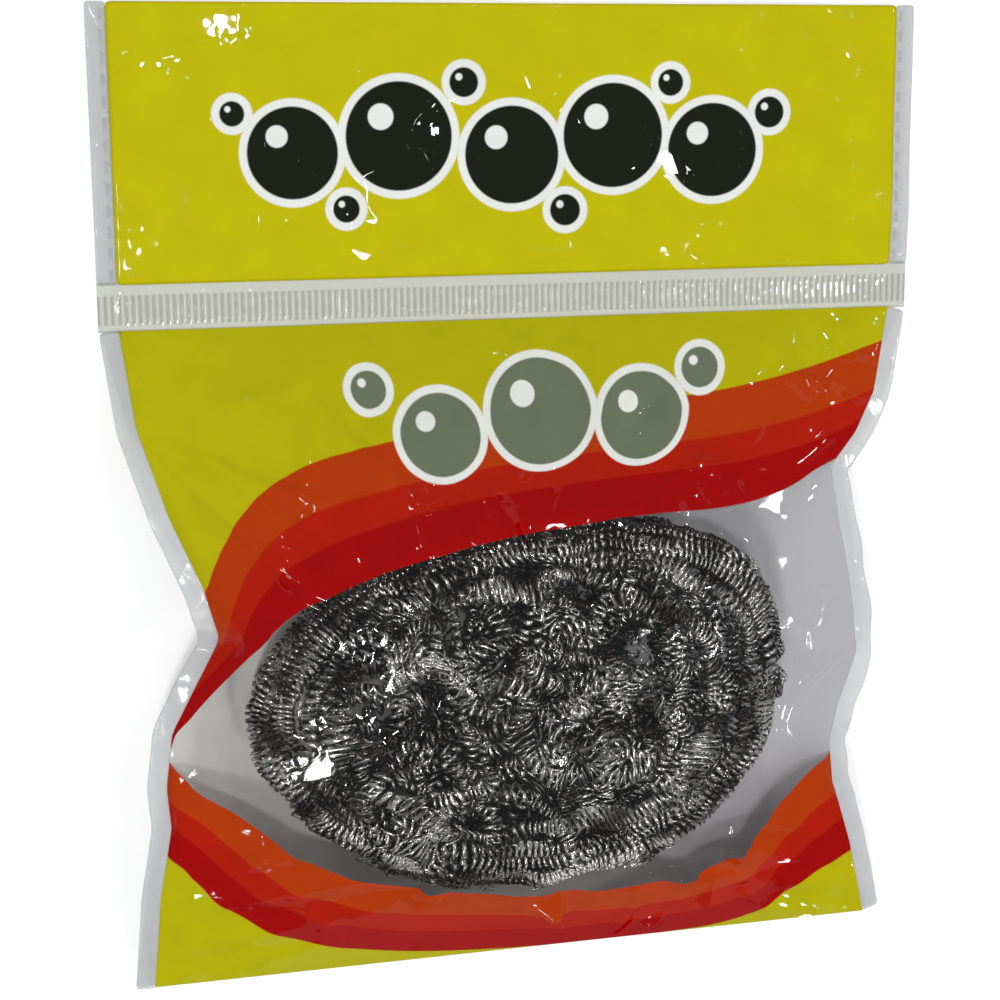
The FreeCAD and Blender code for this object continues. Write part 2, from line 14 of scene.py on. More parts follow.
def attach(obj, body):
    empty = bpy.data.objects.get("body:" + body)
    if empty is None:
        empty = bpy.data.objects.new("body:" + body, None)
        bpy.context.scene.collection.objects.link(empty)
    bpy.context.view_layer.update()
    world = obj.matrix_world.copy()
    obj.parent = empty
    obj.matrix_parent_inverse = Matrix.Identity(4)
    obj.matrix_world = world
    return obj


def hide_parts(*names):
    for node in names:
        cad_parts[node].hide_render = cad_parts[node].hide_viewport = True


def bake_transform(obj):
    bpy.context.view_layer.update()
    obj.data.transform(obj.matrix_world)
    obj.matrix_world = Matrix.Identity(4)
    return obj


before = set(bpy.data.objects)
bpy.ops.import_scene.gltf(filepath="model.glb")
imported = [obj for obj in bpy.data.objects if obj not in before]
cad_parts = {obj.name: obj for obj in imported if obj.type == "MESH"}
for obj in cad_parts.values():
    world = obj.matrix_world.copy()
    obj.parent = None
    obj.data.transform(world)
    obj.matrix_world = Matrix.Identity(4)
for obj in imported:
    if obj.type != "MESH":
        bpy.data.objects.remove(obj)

log = logging.getLogger("bag")
MM = 0.001
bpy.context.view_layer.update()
EYE = Vector((-84.0, 63.7, 327.0)) * MM  # the camera's place
FILM_WIDTH, FILM_LENGTH = 133.6, 120.0  # flat pouch film, in millimetres
SCOURER_LEAN = 3.0  # turn of the scourer in the bag, in degrees
RIB_PITCH = 1.1 * MM  # spacing of the band's ribs
RIB_ROW, RIB_REACH = 34.2 * MM, 2.5 * MM  # middle of the row of ribs along the bag, and half its height


@dataclass(frozen=True)
class Lamp:
    """Square studio lamp: its place, the length of its side, and its power in watts."""

    place: tuple[float, float, float]
    size: float
    watts: float


LAMPS = {
    "key": Lamp((-0.32, -0.30, 0.84), 0.11, 2.65),
    "front": Lamp((-0.20, 0.0, 0.93), 0.07, 2.1),
    "fill": Lamp((0.66, 0.22, 0.60), 0.085, 1.8),
    "rear": Lamp((0.22, 0.57, 0.78), 0.045, 0.42),
    "top": Lamp((-0.46, 0.62, 0.60), 0.05, 0.5),
    "low": Lamp((0.30, -0.92, 0.14), 0.056, 0.62),
    "side": Lamp((0.53, -0.22, 0.82), 0.045, 0.4),
}


class Face(Enum):
    """Which film of the bag a face belongs to; the value is its material index while the pouch is one mesh."""

    FRONT = 0
    BACK = 1


class Motif(Enum):
    """What is printed on a film."""

    HEADER = "header"
    POUCH = "pouch"
    BACK = "back"


# Node helpers


class NodeBoard:
    """Adds nodes to one node tree and links them in a row.

    Attributes:
        tree: the material's or group's node tree.
    """

    def __init__(self, tree: bpy.types.NodeTree) -> None:
        """Keeps the tree that the nodes go into."""
        self.tree = tree

    def add(self, kind: str, **settings: object) -> bpy.types.Node:
        """Adds a node.

        Args:
            kind: the node's bl_idname.
            settings: properties of the node.

        Returns:
            The new node.
        """
        node = self.tree.nodes.new(kind)
        for name, setting in settings.items():
            setattr(node, name, setting)
        return node

    def feed(self, socket: bpy.types.NodeSocket, source: object) -> None:
        """Links a socket to another node's output, or sets it to a plain value.

        Args:
            socket: the input to feed.
            source: an output socket, a number or a tuple.
        """
        if isinstance(source, bpy.types.NodeSocket):
            self.tree.links.new(source, socket)
        else:
            socket.default_value = source

    def math(self, operation: str, *values: object) -> bpy.types.NodeSocket:
        """Math node.

        Args:
            operation: the node's operation.
            values: its inputs, outputs of other nodes or numbers.

        Returns:
            The node's output.
        """
        node = self.add("ShaderNodeMath", operation=operation)
        for socket, source in zip(node.inputs, values):
            self.feed(socket, source)
        return node.outputs[0]

    def step(self, value: object, edge: float, soft: float) -> bpy.types.NodeSocket:
        """Mask that goes from 0 below an edge to 1 above it.

        Args:
            value: what is compared with the edge.
            edge: where the mask is half way.
            soft: the width over which it changes.

        Returns:
            The mask.
        """
        node = self.add("ShaderNodeMapRange", interpolation_type="SMOOTHSTEP")
        self.feed(node.inputs["Value"], value)
        node.inputs["From Min"].default_value = edge - soft / 2
        node.inputs["From Max"].default_value = edge + soft / 2
        return node.outputs["Result"]

    def blend(self, share: object, first: object, second: object) -> bpy.types.NodeSocket:
        """Mix of two colours.

        Args:
            share: how much of the second one shows.
            first: colour under it.
            second: colour over it.

        Returns:
            The mixed colour.
        """
        node = self.add("ShaderNodeMix", data_type="RGBA")
        self.feed(node.inputs["Factor"], share)
        self.feed(node.inputs["A"], first)
        self.feed(node.inputs["B"], second)
        return node.outputs["Result"]

    def layers(self, share: object, under: bpy.types.NodeSocket, over: bpy.types.NodeSocket) -> bpy.types.NodeSocket:
        """Mix of two shaders.

        Args:
            share: how much of the upper one shows.
            under, over: the shaders.

        Returns:
            The mixed shader.
        """
        node = self.add("ShaderNodeMixShader")
        for socket, source in zip(node.inputs, (share, under, over)):
            self.feed(socket, source)
        return node.outputs[0]

    def surface(self, shader: bpy.types.NodeSocket) -> None:
        """Makes a shader the material's surface."""
        self.feed(self.add("ShaderNodeOutputMaterial").inputs["Surface"], shader)

    def place(self) -> bpy.types.NodeSocket:
        """Coordinates on the piece, in metres."""
        return self.add("ShaderNodeTexCoord").outputs["Object"]

    def axes(self, place: bpy.types.NodeSocket) -> tuple[bpy.types.NodeSocket, bpy.types.NodeSocket]:
        """The X and Y of coordinates."""
        node = self.add("ShaderNodeSeparateXYZ")
        self.feed(node.inputs[0], place)
        return node.outputs["X"], node.outputs["Y"]

    def edge(self, across: object, points: tuple[tuple[float, float], ...]) -> bpy.types.NodeSocket:
        """Height of a smooth printed edge that runs across the flat film.

        Args:
            across: place across the film in millimetres.
            points: the edge's corners, across and up in millimetres.

        Returns:
            The edge's height in millimetres.
        """
        node = self.add("ShaderNodeFloatCurve")
        self.feed(node.inputs["Value"], self.math("MULTIPLY_ADD", across, 1 / FILM_WIDTH, 0.5))
        curve = node.mapping.curves[0]
        for index, (x, y) in enumerate(points):
            place = (x / FILM_WIDTH + 0.5, y / FILM_LENGTH)
            if index < 2:
                curve.points[index].location = place
            else:
                curve.points.new(*place)
        node.mapping.update()
        return self.math("MULTIPLY", node.outputs[0], FILM_LENGTH)

    def noise(self, place: object, scale: float, detail: float) -> bpy.types.NodeSocket:
        """Noise from about 0 to 1.

        Args:
            place: the coordinates.
            scale: how fine it is, per metre or per unit of the map.
            detail: its octaves.

        Returns:
            The noise's value.
        """
        node = self.add("ShaderNodeTexNoise")
        self.feed(node.inputs["Vector"], place)
        node.inputs["Scale"].default_value = scale
        node.inputs["Detail"].default_value = detail
        return node.outputs["Fac"]


def linear(red: int, green: int, blue: int) -> tuple[float, float, float, float]:
    """Shader colour of an ink or metal that is known by its screen colour.

    Args:
        red, green, blue: the screen colour, 0 to 255.

    Returns:
        The same colour in linear light, with alpha 1.
    """
    shares = [c / 255 for c in (red, green, blue)]
    return (*[c / 12.92 if c <= 0.04045 else ((c + 0.055) / 1.055) ** 2.4 for c in shares], 1.0)


def new_group(name: str, inputs: dict[str, str], outputs: dict[str, str]) -> tuple[NodeBoard, dict, dict]:
    """Empty shader node group with named sockets.

    Args:
        name: the group's name.
        inputs: socket name to socket kind.
        outputs: socket name to socket kind.

    Returns:
        A board on the group's tree, its inputs by name and the sockets of its output by name.
    """
    tree = bpy.data.node_groups.new(name, "ShaderNodeTree")
    for socket, kind in inputs.items():
        tree.interface.new_socket(socket, in_out="INPUT", socket_type=kind)
    for socket, kind in outputs.items():
        tree.interface.new_socket(socket, in_out="OUTPUT", socket_type=kind)
    board = NodeBoard(tree)
    source = board.add("NodeGroupInput")
    sink = board.add("NodeGroupOutput")
    return board, {s.name: s for s in source.outputs if s.name}, {s.name: s for s in sink.inputs if s.name}


def crinkle_group() -> bpy.types.NodeTree:
    """Height of the fine creases that handled film shows.

    Returns:
        A group with Place and Scale in, and Height out.
    """
    board, given, made = new_group(
        "film_crinkle",
        {"Place": "NodeSocketVector", "Scale": "NodeSocketFloat"},
        {"Height": "NodeSocketFloat"},
    )
    sized = board.add("ShaderNodeVectorMath", operation="SCALE")
    board.feed(sized.inputs[0], given["Place"])
    board.feed(sized.inputs["Scale"], given["Scale"])
    warp = board.add("ShaderNodeTexNoise")
    board.feed(warp.inputs["Vector"], sized.outputs[0])
    warp.inputs["Scale"].default_value = 1.3
    bent = board.add("ShaderNodeVectorMath", operation="MULTIPLY_ADD")
    board.feed(bent.inputs[0], warp.outputs["Color"])
    bent.inputs[1].default_value = (0.9, 0.9, 0.9)
    board.feed(bent.inputs[2], sized.outputs[0])
    cells = board.add("ShaderNodeTexVoronoi", feature="DISTANCE_TO_EDGE")
    board.feed(cells.inputs["Vector"], bent.outputs[0])
    cells.inputs["Scale"].default_value = 0.8
    ridge = board.math("POWER", board.math("MINIMUM", cells.outputs["Distance"], 0.5), 0.6)
    waves = board.noise(sized.outputs[0], 0.7, 2.0)
    board.feed(made["Height"], board.math("ADD", ridge, waves))
    return board.tree


def facet_group() -> bpy.types.NodeTree:
    """Height of the flat facets that crumpled film breaks into, each leaning its own way.

    Returns:
        A group with Place and Scale in, and Height out; the facets are longer up the film than across it.
    """
    board, given, made = new_group(
        "film_facets",
        {"Place": "NodeSocketVector", "Scale": "NodeSocketFloat"},
        {"Height": "NodeSocketFloat"},
    )
    drawn = board.add("ShaderNodeVectorMath", operation="MULTIPLY")
    board.feed(drawn.inputs[0], given["Place"])
    drawn.inputs[1].default_value = (1.0, 0.62, 1.0)
    sized = board.add("ShaderNodeVectorMath", operation="SCALE")
    board.feed(sized.inputs[0], drawn.outputs[0])
    board.feed(sized.inputs["Scale"], given["Scale"])
    cells = board.add("ShaderNodeTexVoronoi", voronoi_dimensions="2D")
    board.feed(cells.inputs["Vector"], sized.outputs[0])
    cells.inputs["Scale"].default_value = 1.0
    lean = board.add("ShaderNodeVectorMath", operation="SUBTRACT")
    board.feed(lean.inputs[0], cells.outputs["Color"])
    lean.inputs[1].default_value = (0.5, 0.5, 0.5)
    off = board.add("ShaderNodeVectorMath", operation="SUBTRACT")
    board.feed(off.inputs[0], sized.outputs[0])
    board.feed(off.inputs[1], cells.outputs["Position"])
    rise = board.add("ShaderNodeVectorMath", operation="DOT_PRODUCT")
    board.feed(rise.inputs[0], lean.outputs[0])
    board.feed(rise.inputs[1], off.outputs[0])
    board.feed(made["Height"], rise.outputs["Value"])
    return board.tree


# Finishes


@dataclass(frozen=True)
class Inks:
    """Colours of the bag's print."""

    yellow: tuple = linear(187, 179, 0)
    # Darker copy of the yellow ink for the pouch: painted shade over the pouch's print.
    pouch_yellow_painted_shade: tuple = linear(176, 170, 0)
    orange: tuple = linear(174, 54, 0)
    flame: tuple = linear(170, 24, 0)
    red: tuple = linear(156, 0, 0)
    black: tuple = linear(24, 27, 16)
    white: tuple = linear(226, 228, 222)
    sage: tuple = linear(104, 114, 92)


@dataclass(frozen=True)
class Swath:
    """Curved colour swath of the print: red along its lower edge, then flame, then orange along its upper one.

    Attributes:
        upper, lower: its edges, as places across the film and above the bottom fold, in millimetres.
        tones: shares of its width where red turns to flame, and flame to orange.
    """

    upper: tuple[tuple[float, float], ...]
    lower: tuple[tuple[float, float], ...]
    tones: tuple[float, float] = (0.35, 0.62)


@dataclass(frozen=True)
class ClearFilm:
    """Bare film and welds: how milky they are and how they shine.

    Attributes:
        haze: share of light that the film scatters.
        tint: colour of what it scatters.
        painted_shade: darker milk colour painted on the bag's right side as shade, where one is given.
        painted_shade_run: width over which the plain colour turns to the painted shade.
        roughness: blur of its shine.
        crinkle_scale, crinkle: creases per metre, and how deep they look.
        ribs: spacing of pressed ribs, or 0 for none.
        rib_painted_shade: darker milk colour painted between the ribs as shade in their troughs.
        gloss_limit: most that it mirrors, seen from any side.
    """

    haze: float = 0.005
    tint: tuple = linear(205, 206, 210)
    painted_shade: tuple | None = None
    painted_shade_run: float = 110 * MM
    roughness: float = 0.04
    crinkle_scale: float = 240.0
    crinkle: float = 0.25
    ribs: float = 0.0
    rib_painted_shade: tuple = linear(168, 169, 156)
    gloss_limit: float = 0.016

    def body(self, board: NodeBoard) -> bpy.types.NodeSocket:
        """Shader of the film without its shine: clear and a little milky.

        Args:
            board: the material's board.

        Returns:
            The shader's output.
        """
        see = board.add("ShaderNodeBsdfTransparent")
        milk = board.add("ShaderNodeBsdfPrincipled")
        milk.inputs["Base Color"].default_value = self.tint
        milk.inputs["Roughness"].default_value = 0.5
        # Painted shade: the milk turns darker towards the bag's right side, for the shadow that falls there.
        if self.painted_shade:
            x, _ = board.axes(board.place())
            right = board.step(x, 0.0, self.painted_shade_run)
            board.feed(milk.inputs["Base Color"], board.blend(right, self.tint, self.painted_shade))
        # Painted shade: the milk turns darker in the troughs between the ribs.
        if self.ribs:
            x, y = board.axes(board.place())
            beat = board.math("COSINE", board.math("MULTIPLY", x, math.tau / self.ribs))
            off = board.math("ABSOLUTE", board.math("SUBTRACT", y, RIB_ROW))
            pressed = board.step(board.math("SUBTRACT", RIB_REACH - 0.1 * MM, off), 0.0, 0.4 * MM)
            trough_painted_shade = board.math("MULTIPLY", pressed, board.math("MULTIPLY_ADD", beat, -0.5, 0.5))
            board.feed(milk.inputs["Base Color"], board.blend(trough_painted_shade, self.tint, self.rib_painted_shade))
        return board.layers(self.haze, see.outputs[0], milk.outputs[0])

    def shine(
        self, board: NodeBoard, body: bpy.types.NodeSocket, normal: bpy.types.NodeSocket
    ) -> bpy.types.NodeSocket:
        """Adds the film's shine, which shows white where a facet turns towards a lamp.

        Args:
            board: the material's board.
            body: the shader under the shine.
            normal: the bumped normal.

        Returns:
            The shader's output.
        """
        shine = board.add("ShaderNodeBsdfGlossy")
        shine.inputs["Color"].default_value = (0.95, 0.95, 0.95, 1.0)
        shine.inputs["Roughness"].default_value = self.roughness
        board.feed(shine.inputs["Normal"], normal)
        edge = board.add("ShaderNodeFresnel")
        edge.inputs["IOR"].default_value = 1.32
        board.feed(edge.inputs["Normal"], normal)
        return board.layers(board.math("MINIMUM", edge.outputs[0], self.gloss_limit), body, shine.outputs[0])


UPPER_SWATH = Swath(
    upper=(
        (-66.8, 75.5), (-55.4, 88.1), (-43.5, 96.2), (-24.7, 101.0),
        (12.8, 104.9), (44.6, 108.2), (66.8, 113.9),
    ),
    lower=(
        (-66.8, 47.7), (-61.5, 63.0), (-55.0, 70.4), (-41.6, 76.4),
        (-17.8, 81.9), (13.5, 84.8), (52.0, 86.6), (66.8, 91.0),
    ),
)
LOWER_SWATH = Swath(
    upper=(
        (-66.8, 45.8), (-53.0, 33.9), (-38.1, 26.3), (-6.6, 21.9),
        (22.6, 17.5), (41.3, 21.0), (51.8, 29.7), (66.8, 38.5),
    ),
    lower=(
        (-66.8, 28.4), (-48.7, 12.9), (-28.1, 4.9), (-7.0, 1.0),
        (29.2, 0.2), (42.0, 2.4), (53.8, 9.8), (66.8, 15.8),
    ),
)


class Finishes:
    """Every material of the bag and the scourer, built once."""

    def __init__(self) -> None:
        """Builds the shared groups and the materials."""
        self.inks = Inks()
        self.crinkle = crinkle_group()
        self.facets = facet_group()
        self.film = {motif: self._printed_film(motif) for motif in Motif}
        sealed = ClearFilm(haze=0.4, tint=linear(182, 184, 185), roughness=0.12, gloss_limit=0.05)
        crimped = ClearFilm(haze=0.6, tint=linear(212, 214, 200), roughness=0.1, ribs=RIB_PITCH, gloss_limit=0.04)
        self.weld = self._clear("weld_film", sealed, dashes=False)
        self.marked_weld = self._clear("marked_weld_film", sealed, dashes=True)
        self.band = self._clear("crimped_film", crimped, dashes=False)
        self.steel = self._steel()

    def _material(self, name: str) -> tuple[bpy.types.Material, NodeBoard]:
        """Empty node material.

        Args:
            name: its name.

        Returns:
            The material and a board on its tree.
        """
        material = bpy.data.materials.new(name)
        material.use_nodes = True
        material.node_tree.nodes.clear()
        return material, NodeBoard(material.node_tree)

    def _bump(
        self, board: NodeBoard, place: bpy.types.NodeSocket, scale: float, strength: float
    ) -> bpy.types.NodeSocket:
        """Normal with the film's fine creases.

        Args:
            board: the material's board.
            place: coordinates of the creases.
            scale: creases per unit.
            strength: how deep they look.

        Returns:
            The normal.
        """
        bump = board.add("ShaderNodeBump")
        bump.inputs["Strength"].default_value = strength
        bump.inputs["Distance"].default_value = 0.4 * MM
        board.feed(bump.inputs["Height"], self._height(board, self.crinkle, place, scale))
        return bump.outputs[0]

    def _discs(
        self, board: NodeBoard, across: object, up: object, discs: tuple[tuple[float, float, float], ...], grow: float
    ) -> bpy.types.NodeSocket:
        """Mask of several round spots.

        Args:
            board: the material's board.
            across, up: place on the flat film in millimetres.
            discs: middle and radius of each spot.
            grow: added to each radius.

        Returns:
            The mask.
        """
        mask = None
        for x, y, radius in discs:
            aside = board.math("SUBTRACT", across, x)
            above = board.math("SUBTRACT", up, y)
            square = board.math("MULTIPLY_ADD", aside, aside, board.math("MULTIPLY", above, above))
            far = board.math("SQRT", square)
            spot = board.step(board.math("SUBTRACT", radius + grow, far), 0.0, 0.35)
            mask = spot if mask is None else board.math("MAXIMUM", mask, spot)
        return mask

    def _bubbles(
        self,
        board: NodeBoard,
        ground: object,
        across: object,
        up: object,
        bubbles: tuple[tuple[float, float, float], ...],
        inks: tuple[tuple, tuple],
    ) -> bpy.types.NodeSocket:
        """Plain round soap bubbles over a ground colour: a rim, a fill and a gleam each.

        Args:
            board: the material's board.
            ground: colour under them.
            across, up: place on the flat film in millimetres.
            bubbles: middle and radius of each one.
            inks: colour of the rims, then of the fills.

        Returns:
            The colour with the bubbles on it.
        """
        rim, fill = inks
        colour = board.blend(self._discs(board, across, up, bubbles, 1.3), ground, rim)
        colour = board.blend(self._discs(board, across, up, bubbles, 0.0), colour, fill)
        gleams = tuple((x - 0.34 * r, y + 0.36 * r, 0.24 * r) for x, y, r in bubbles)
        return board.blend(self._discs(board, across, up, gleams, 0.0), colour, rim)

    def _layout(self, board: NodeBoard, motif: Motif, across: object, up: object) -> tuple[object, object]:
        """Colour and cover of one film's print.

        Args:
            board: the material's board.
            motif: which film it is.
            across, up: place on the flat film in millimetres.

        Returns:
            The print's colour, and how much of the film it covers.
        """
        inks = self.inks
        if motif is Motif.HEADER:
            row = ((-38.0, 20.5, 7.4), (-20.5, 23.0, 8.8), (-1.5, 19.8, 8.0), (16.0, 22.8, 8.6), (33.5, 20.2, 7.8))
            small = (
                (-29.4, 11.4, 2.2), (-9.6, 31.6, 2.4), (7.6, 10.6, 2.6),
                (26.0, 31.4, 2.2), (43.6, 26.4, 2.6), (-47.6, 26.8, 2.0),
            )
            return self._bubbles(board, inks.yellow, across, up, row + small, (inks.white, inks.black)), 1.0
        if motif is Motif.BACK:
            foot_end, head_start, soft = 5.0, 98.0, 0.4
            foot = board.step(board.math("SUBTRACT", foot_end, up), 0.0, soft)
            return inks.pouch_yellow_painted_shade, board.math("MAXIMUM", board.step(up, head_start, soft), foot)
        colour = inks.pouch_yellow_painted_shade
        window = 1.0
        for swath, above in ((UPPER_SWATH, True), (LOWER_SWATH, False)):
            low = board.edge(across, swath.lower)
            high = board.edge(across, swath.upper)
            inside = board.math(
                "MULTIPLY",
                board.step(board.math("SUBTRACT", up, low), -0.5 if above else 0.0, 0.3),
                board.step(board.math("SUBTRACT", high, up), 0.0 if above else -0.5, 0.3),
            )
            wide = board.math("MAXIMUM", board.math("SUBTRACT", high, low), 0.5)
            share = board.math("DIVIDE", board.math("SUBTRACT", up, low), wide)
            tone = board.blend(board.step(share, swath.tones[0], 0.03), inks.red, inks.flame)
            tone = board.blend(board.step(share, swath.tones[1], 0.03), tone, inks.orange)
            colour = board.blend(inside, colour, tone)
            over = board.math("SUBTRACT", low, up) if above else board.math("SUBTRACT", up, high)
            window = board.math("MULTIPLY", window, board.step(over, 0.0, 0.3))
        bubbles = ((-16.0, 101.5, 7.0), (2.0, 104.5, 9.0), (20.5, 103.0, 7.6), (-27.5, 109.5, 3.0), (31.5, 110.8, 3.4))
        colour = self._bubbles(board, colour, across, up, bubbles, (inks.white, inks.sage))
        return colour, board.math("SUBTRACT", 1.0, window)

    def _printed_film(self, motif: Motif) -> bpy.types.Material:
        """Film with its print: glossy ink on clear film.

        Args:
            motif: which film it is.

        Returns:
            The material.
        """
        material, board = self._material(f"printed_film_{motif.value}")
        flat = board.add("ShaderNodeUVMap", uv_map="Flat")
        across, up = (board.math("MULTIPLY", part, 100.0) for part in board.axes(flat.outputs[0]))
        colour, cover = self._layout(board, motif, across, up)
        normal = self._crumple(board, motif, flat.outputs[0], up)
        streak = board.noise(flat.outputs[0], 14.0, 3.0)
        patchy = board.add("ShaderNodeHueSaturation")
        board.feed(patchy.inputs["Color"], colour)
        board.feed(patchy.inputs["Value"], board.math("ADD", 0.9, board.math("MULTIPLY", streak, 0.2)))
        ink = board.add("ShaderNodeBsdfPrincipled")
        board.feed(ink.inputs["Base Color"], patchy.outputs[0])
        ink.inputs["Roughness"].default_value = 0.5
        ink.inputs["Specular IOR Level"].default_value = 0.0
        film = ClearFilm()
        if motif is Motif.BACK:
            # The back film's milk carries painted shade towards the bag's right side.
            film = ClearFilm(haze=0.72, tint=linear(204, 200, 194), painted_shade=linear(152, 151, 156))
        body = ink.outputs[0]
        if motif is not Motif.HEADER:
            body = board.layers(cover, film.body(board), body)
        board.surface(film.shine(board, body, normal))
        return material

    def _crumple(self, board: NodeBoard, motif: Motif, place: bpy.types.NodeSocket, up: object) -> bpy.types.NodeSocket:
        """Normal of handled film: fine creases, and facets in patches and beside the folds and welds.

        Args:
            board: the material's board.
            motif: which film it is.
            place: coordinates on the flat film.
            up: place along the flat film in millimetres.

        Returns:
            The normal.
        """
        patch = board.step(board.noise(place, 4.2, 2.0), 0.56, 0.1)
        if motif is Motif.HEADER:
            beside = board.math("MULTIPLY", board.step(board.math("SUBTRACT", 9.0, up), 0.0, 10.0), 0.7)
        else:
            beside = board.step(board.math("SUBTRACT", 22.0, up), 0.0, 12.0)
        crumpled = board.math("MAXIMUM", patch, beside)
        height = board.math("MULTIPLY", self._height(board, self.crinkle, place, 9.0), 0.2)
        for scale, deep in ((8.5, 5.2), (21.0, 1.5)):
            facets = board.math("MULTIPLY", self._height(board, self.facets, place, scale), deep)
            height = board.math("ADD", height, board.math("MULTIPLY", facets, crumpled))
        bump = board.add("ShaderNodeBump")
        bump.inputs["Distance"].default_value = MM
        board.feed(bump.inputs["Height"], height)
        return bump.outputs[0]

    def _height(
        self, board: NodeBoard, group: bpy.types.NodeTree, place: bpy.types.NodeSocket, scale: float
    ) -> bpy.types.NodeSocket:
        """Height from one of the shared groups.

        Args:
            board: the material's board.
            group: the group.
            place: coordinates of the relief.
            scale: its cells per unit.

        Returns:
            The height.
        """
        relief = board.add("ShaderNodeGroup", node_tree=group)
        board.feed(relief.inputs["Place"], place)
        relief.inputs["Scale"].default_value = scale
        return relief.outputs["Height"]

    def _clear(self, name: str, film: ClearFilm, dashes: bool) -> bpy.types.Material:
        """Bare welded film.

        Args:
            name: the material's name.
            film: how it looks.
            dashes: whether a row of weld marks runs along it.

        Returns:
            The material.
        """
        material, board = self._material(name)
        place = board.place()
        normal = self._bump(board, place, film.crinkle_scale, film.crinkle)
        surface = film.shine(board, film.body(board), normal)
        if dashes:
            pitch, row, half_width = 3.4 * MM, 67.6 * MM, 0.35 * MM
            x, y = board.axes(place)
            beat = board.math("FRACT", board.math("MULTIPLY", y, 1 / pitch))
            aside = board.math("ABSOLUTE", board.math("SUBTRACT", board.math("ABSOLUTE", x), row))
            within = board.step(board.math("SUBTRACT", half_width, aside), 0.0, 0.1 * MM)
            mark = board.math("MULTIPLY", board.step(beat, 0.45, 0.1), within)
            pressed = board.add("ShaderNodeBsdfPrincipled")
            pressed.inputs["Base Color"].default_value = linear(120, 122, 130)
            pressed.inputs["Roughness"].default_value = 0.3
            surface = board.layers(board.math("MULTIPLY", mark, 0.14), surface, pressed.outputs[0])
        board.surface(surface)
        return material

    def _steel(self) -> bpy.types.Material:
        """Bright drawn steel wire, a little stained.

        Returns:
            The material.
        """
        material, board = self._material("curled_steel")
        place = board.place()
        stain = board.noise(place, 160.0, 3.0)
        ramp = board.add("ShaderNodeValToRGB")
        board.feed(ramp.inputs[0], stain)
        ramp.color_ramp.elements[0].position = 0.36
        ramp.color_ramp.elements[0].color = linear(48, 43, 40)
        ramp.color_ramp.elements[1].position = 0.62
        ramp.color_ramp.elements[1].color = linear(198, 196, 193)
        fine = board.noise(place, 900.0, 2.0)
        rough = board.add("ShaderNodeMapRange")
        board.feed(rough.inputs["Value"], fine)
        rough.inputs["To Min"].default_value = 0.16
        rough.inputs["To Max"].default_value = 0.34
        metal = board.add("ShaderNodeBsdfPrincipled")
        board.feed(metal.inputs["Base Color"], ramp.outputs[0])
        metal.inputs["Metallic"].default_value = 1.0
        board.feed(metal.inputs["Roughness"], rough.outputs[0])
        board.surface(metal.outputs[0])
        return material


# Meshes


def to_object(name: str, bm: bmesh.types.BMesh, material: bpy.types.Material) -> bpy.types.Object:
    """Turns a bmesh into a smooth-shaded object at the origin.

    Args:
        name: the object's name.
        bm: the mesh, in metres; it is freed.
        material: its finish.

    Returns:
        The object, linked into the scene.
    """
    mesh = bpy.data.meshes.new(name)
    for face in bm.faces:
        face.smooth = True
    bm.to_mesh(mesh)
    bm.free()
    mesh.materials.append(material)
    made = bpy.data.objects.new(name, mesh)
    bpy.context.scene.collection.objects.link(made)
    return made


def bake_modifiers(made: bpy.types.Object) -> bpy.types.Mesh:
    """Mesh of an object with its modifiers applied.

    Args:
        made: the object.

    Returns:
        A new mesh.
    """
    graph = bpy.context.evaluated_depsgraph_get()
    graph.update()
    return bpy.data.meshes.new_from_object(made.evaluated_get(graph), depsgraph=graph)


def add_wall(made: bpy.types.Object, thickness: float) -> None:
    """Smooths a strip of film and gives it its thickness.

    Args:
        made: the film.
        thickness: its wall.
    """
    smooth = made.modifiers.new("Smooth", "SUBSURF")
    smooth.levels = smooth.render_levels = 1
    wall = made.modifiers.new("Wall", "SOLIDIFY")
    wall.thickness = thickness
    wall.offset = -1.0


@dataclass
class FilmGrid:
    """Grid of one film's places.

    Attributes:
        columns, rows: its cells across and along.
        half: half the width of the flat film.
        length: length of the flat film.
        places: place of each grid point in the row frame, by column and row.
    """

    columns: int
    rows: int
    half: float
    length: float
    places: dict[tuple[int, int], Vector]

    def spot(self, column: int, row: int) -> Vector:
        """Place of a grid point on the flat film, across and up, in millimetres."""
        return Vector(((2 * column / self.columns - 1) * self.half, row / self.rows * self.length)) / MM

    def inset(self, column: int, row: int) -> int:
        """Cells between a grid point and the film's nearest edge."""
        return min(column, self.columns - column, row, self.rows - row)

    def normal(self, column: int, row: int) -> Vector:
        """Outward direction at a grid point inside the film's edge."""
        across = self.places[column + 1, row] - self.places[column - 1, row]
        along = self.places[column, row + 1] - self.places[column, row - 1]
        return across.cross(along).normalized()

    def finer(self) -> "FilmGrid":
        """The same film with twice the cells each way, rounded between its points.

        Returns:
            The finer grid.
        """
        wide, high = 2 * self.columns, 2 * self.rows
        places = {(2 * column, 2 * row): place.copy() for (column, row), place in self.places.items()}

        def between(before: tuple, first: tuple, second: tuple, after: tuple) -> Vector:
            """Point on the smooth line through four grid points, half way between the inner two."""
            return (places[first] + places[second]) * (9 / 16) - (places[before] + places[after]) * (1 / 16)

        for row in range(0, high + 1, 2):
            for c in range(1, wide, 2):
                places[c, row] = between((max(0, c - 3), row), (c - 1, row), (c + 1, row), (min(wide, c + 3), row))
        for column in range(wide + 1):
            for r in range(1, high, 2):
                places[column, r] = between(
                    (column, max(0, r - 3)), (column, r - 1), (column, r + 1), (column, min(high, r + 3))
                )
        return FilmGrid(wide, high, self.half, self.length, places)


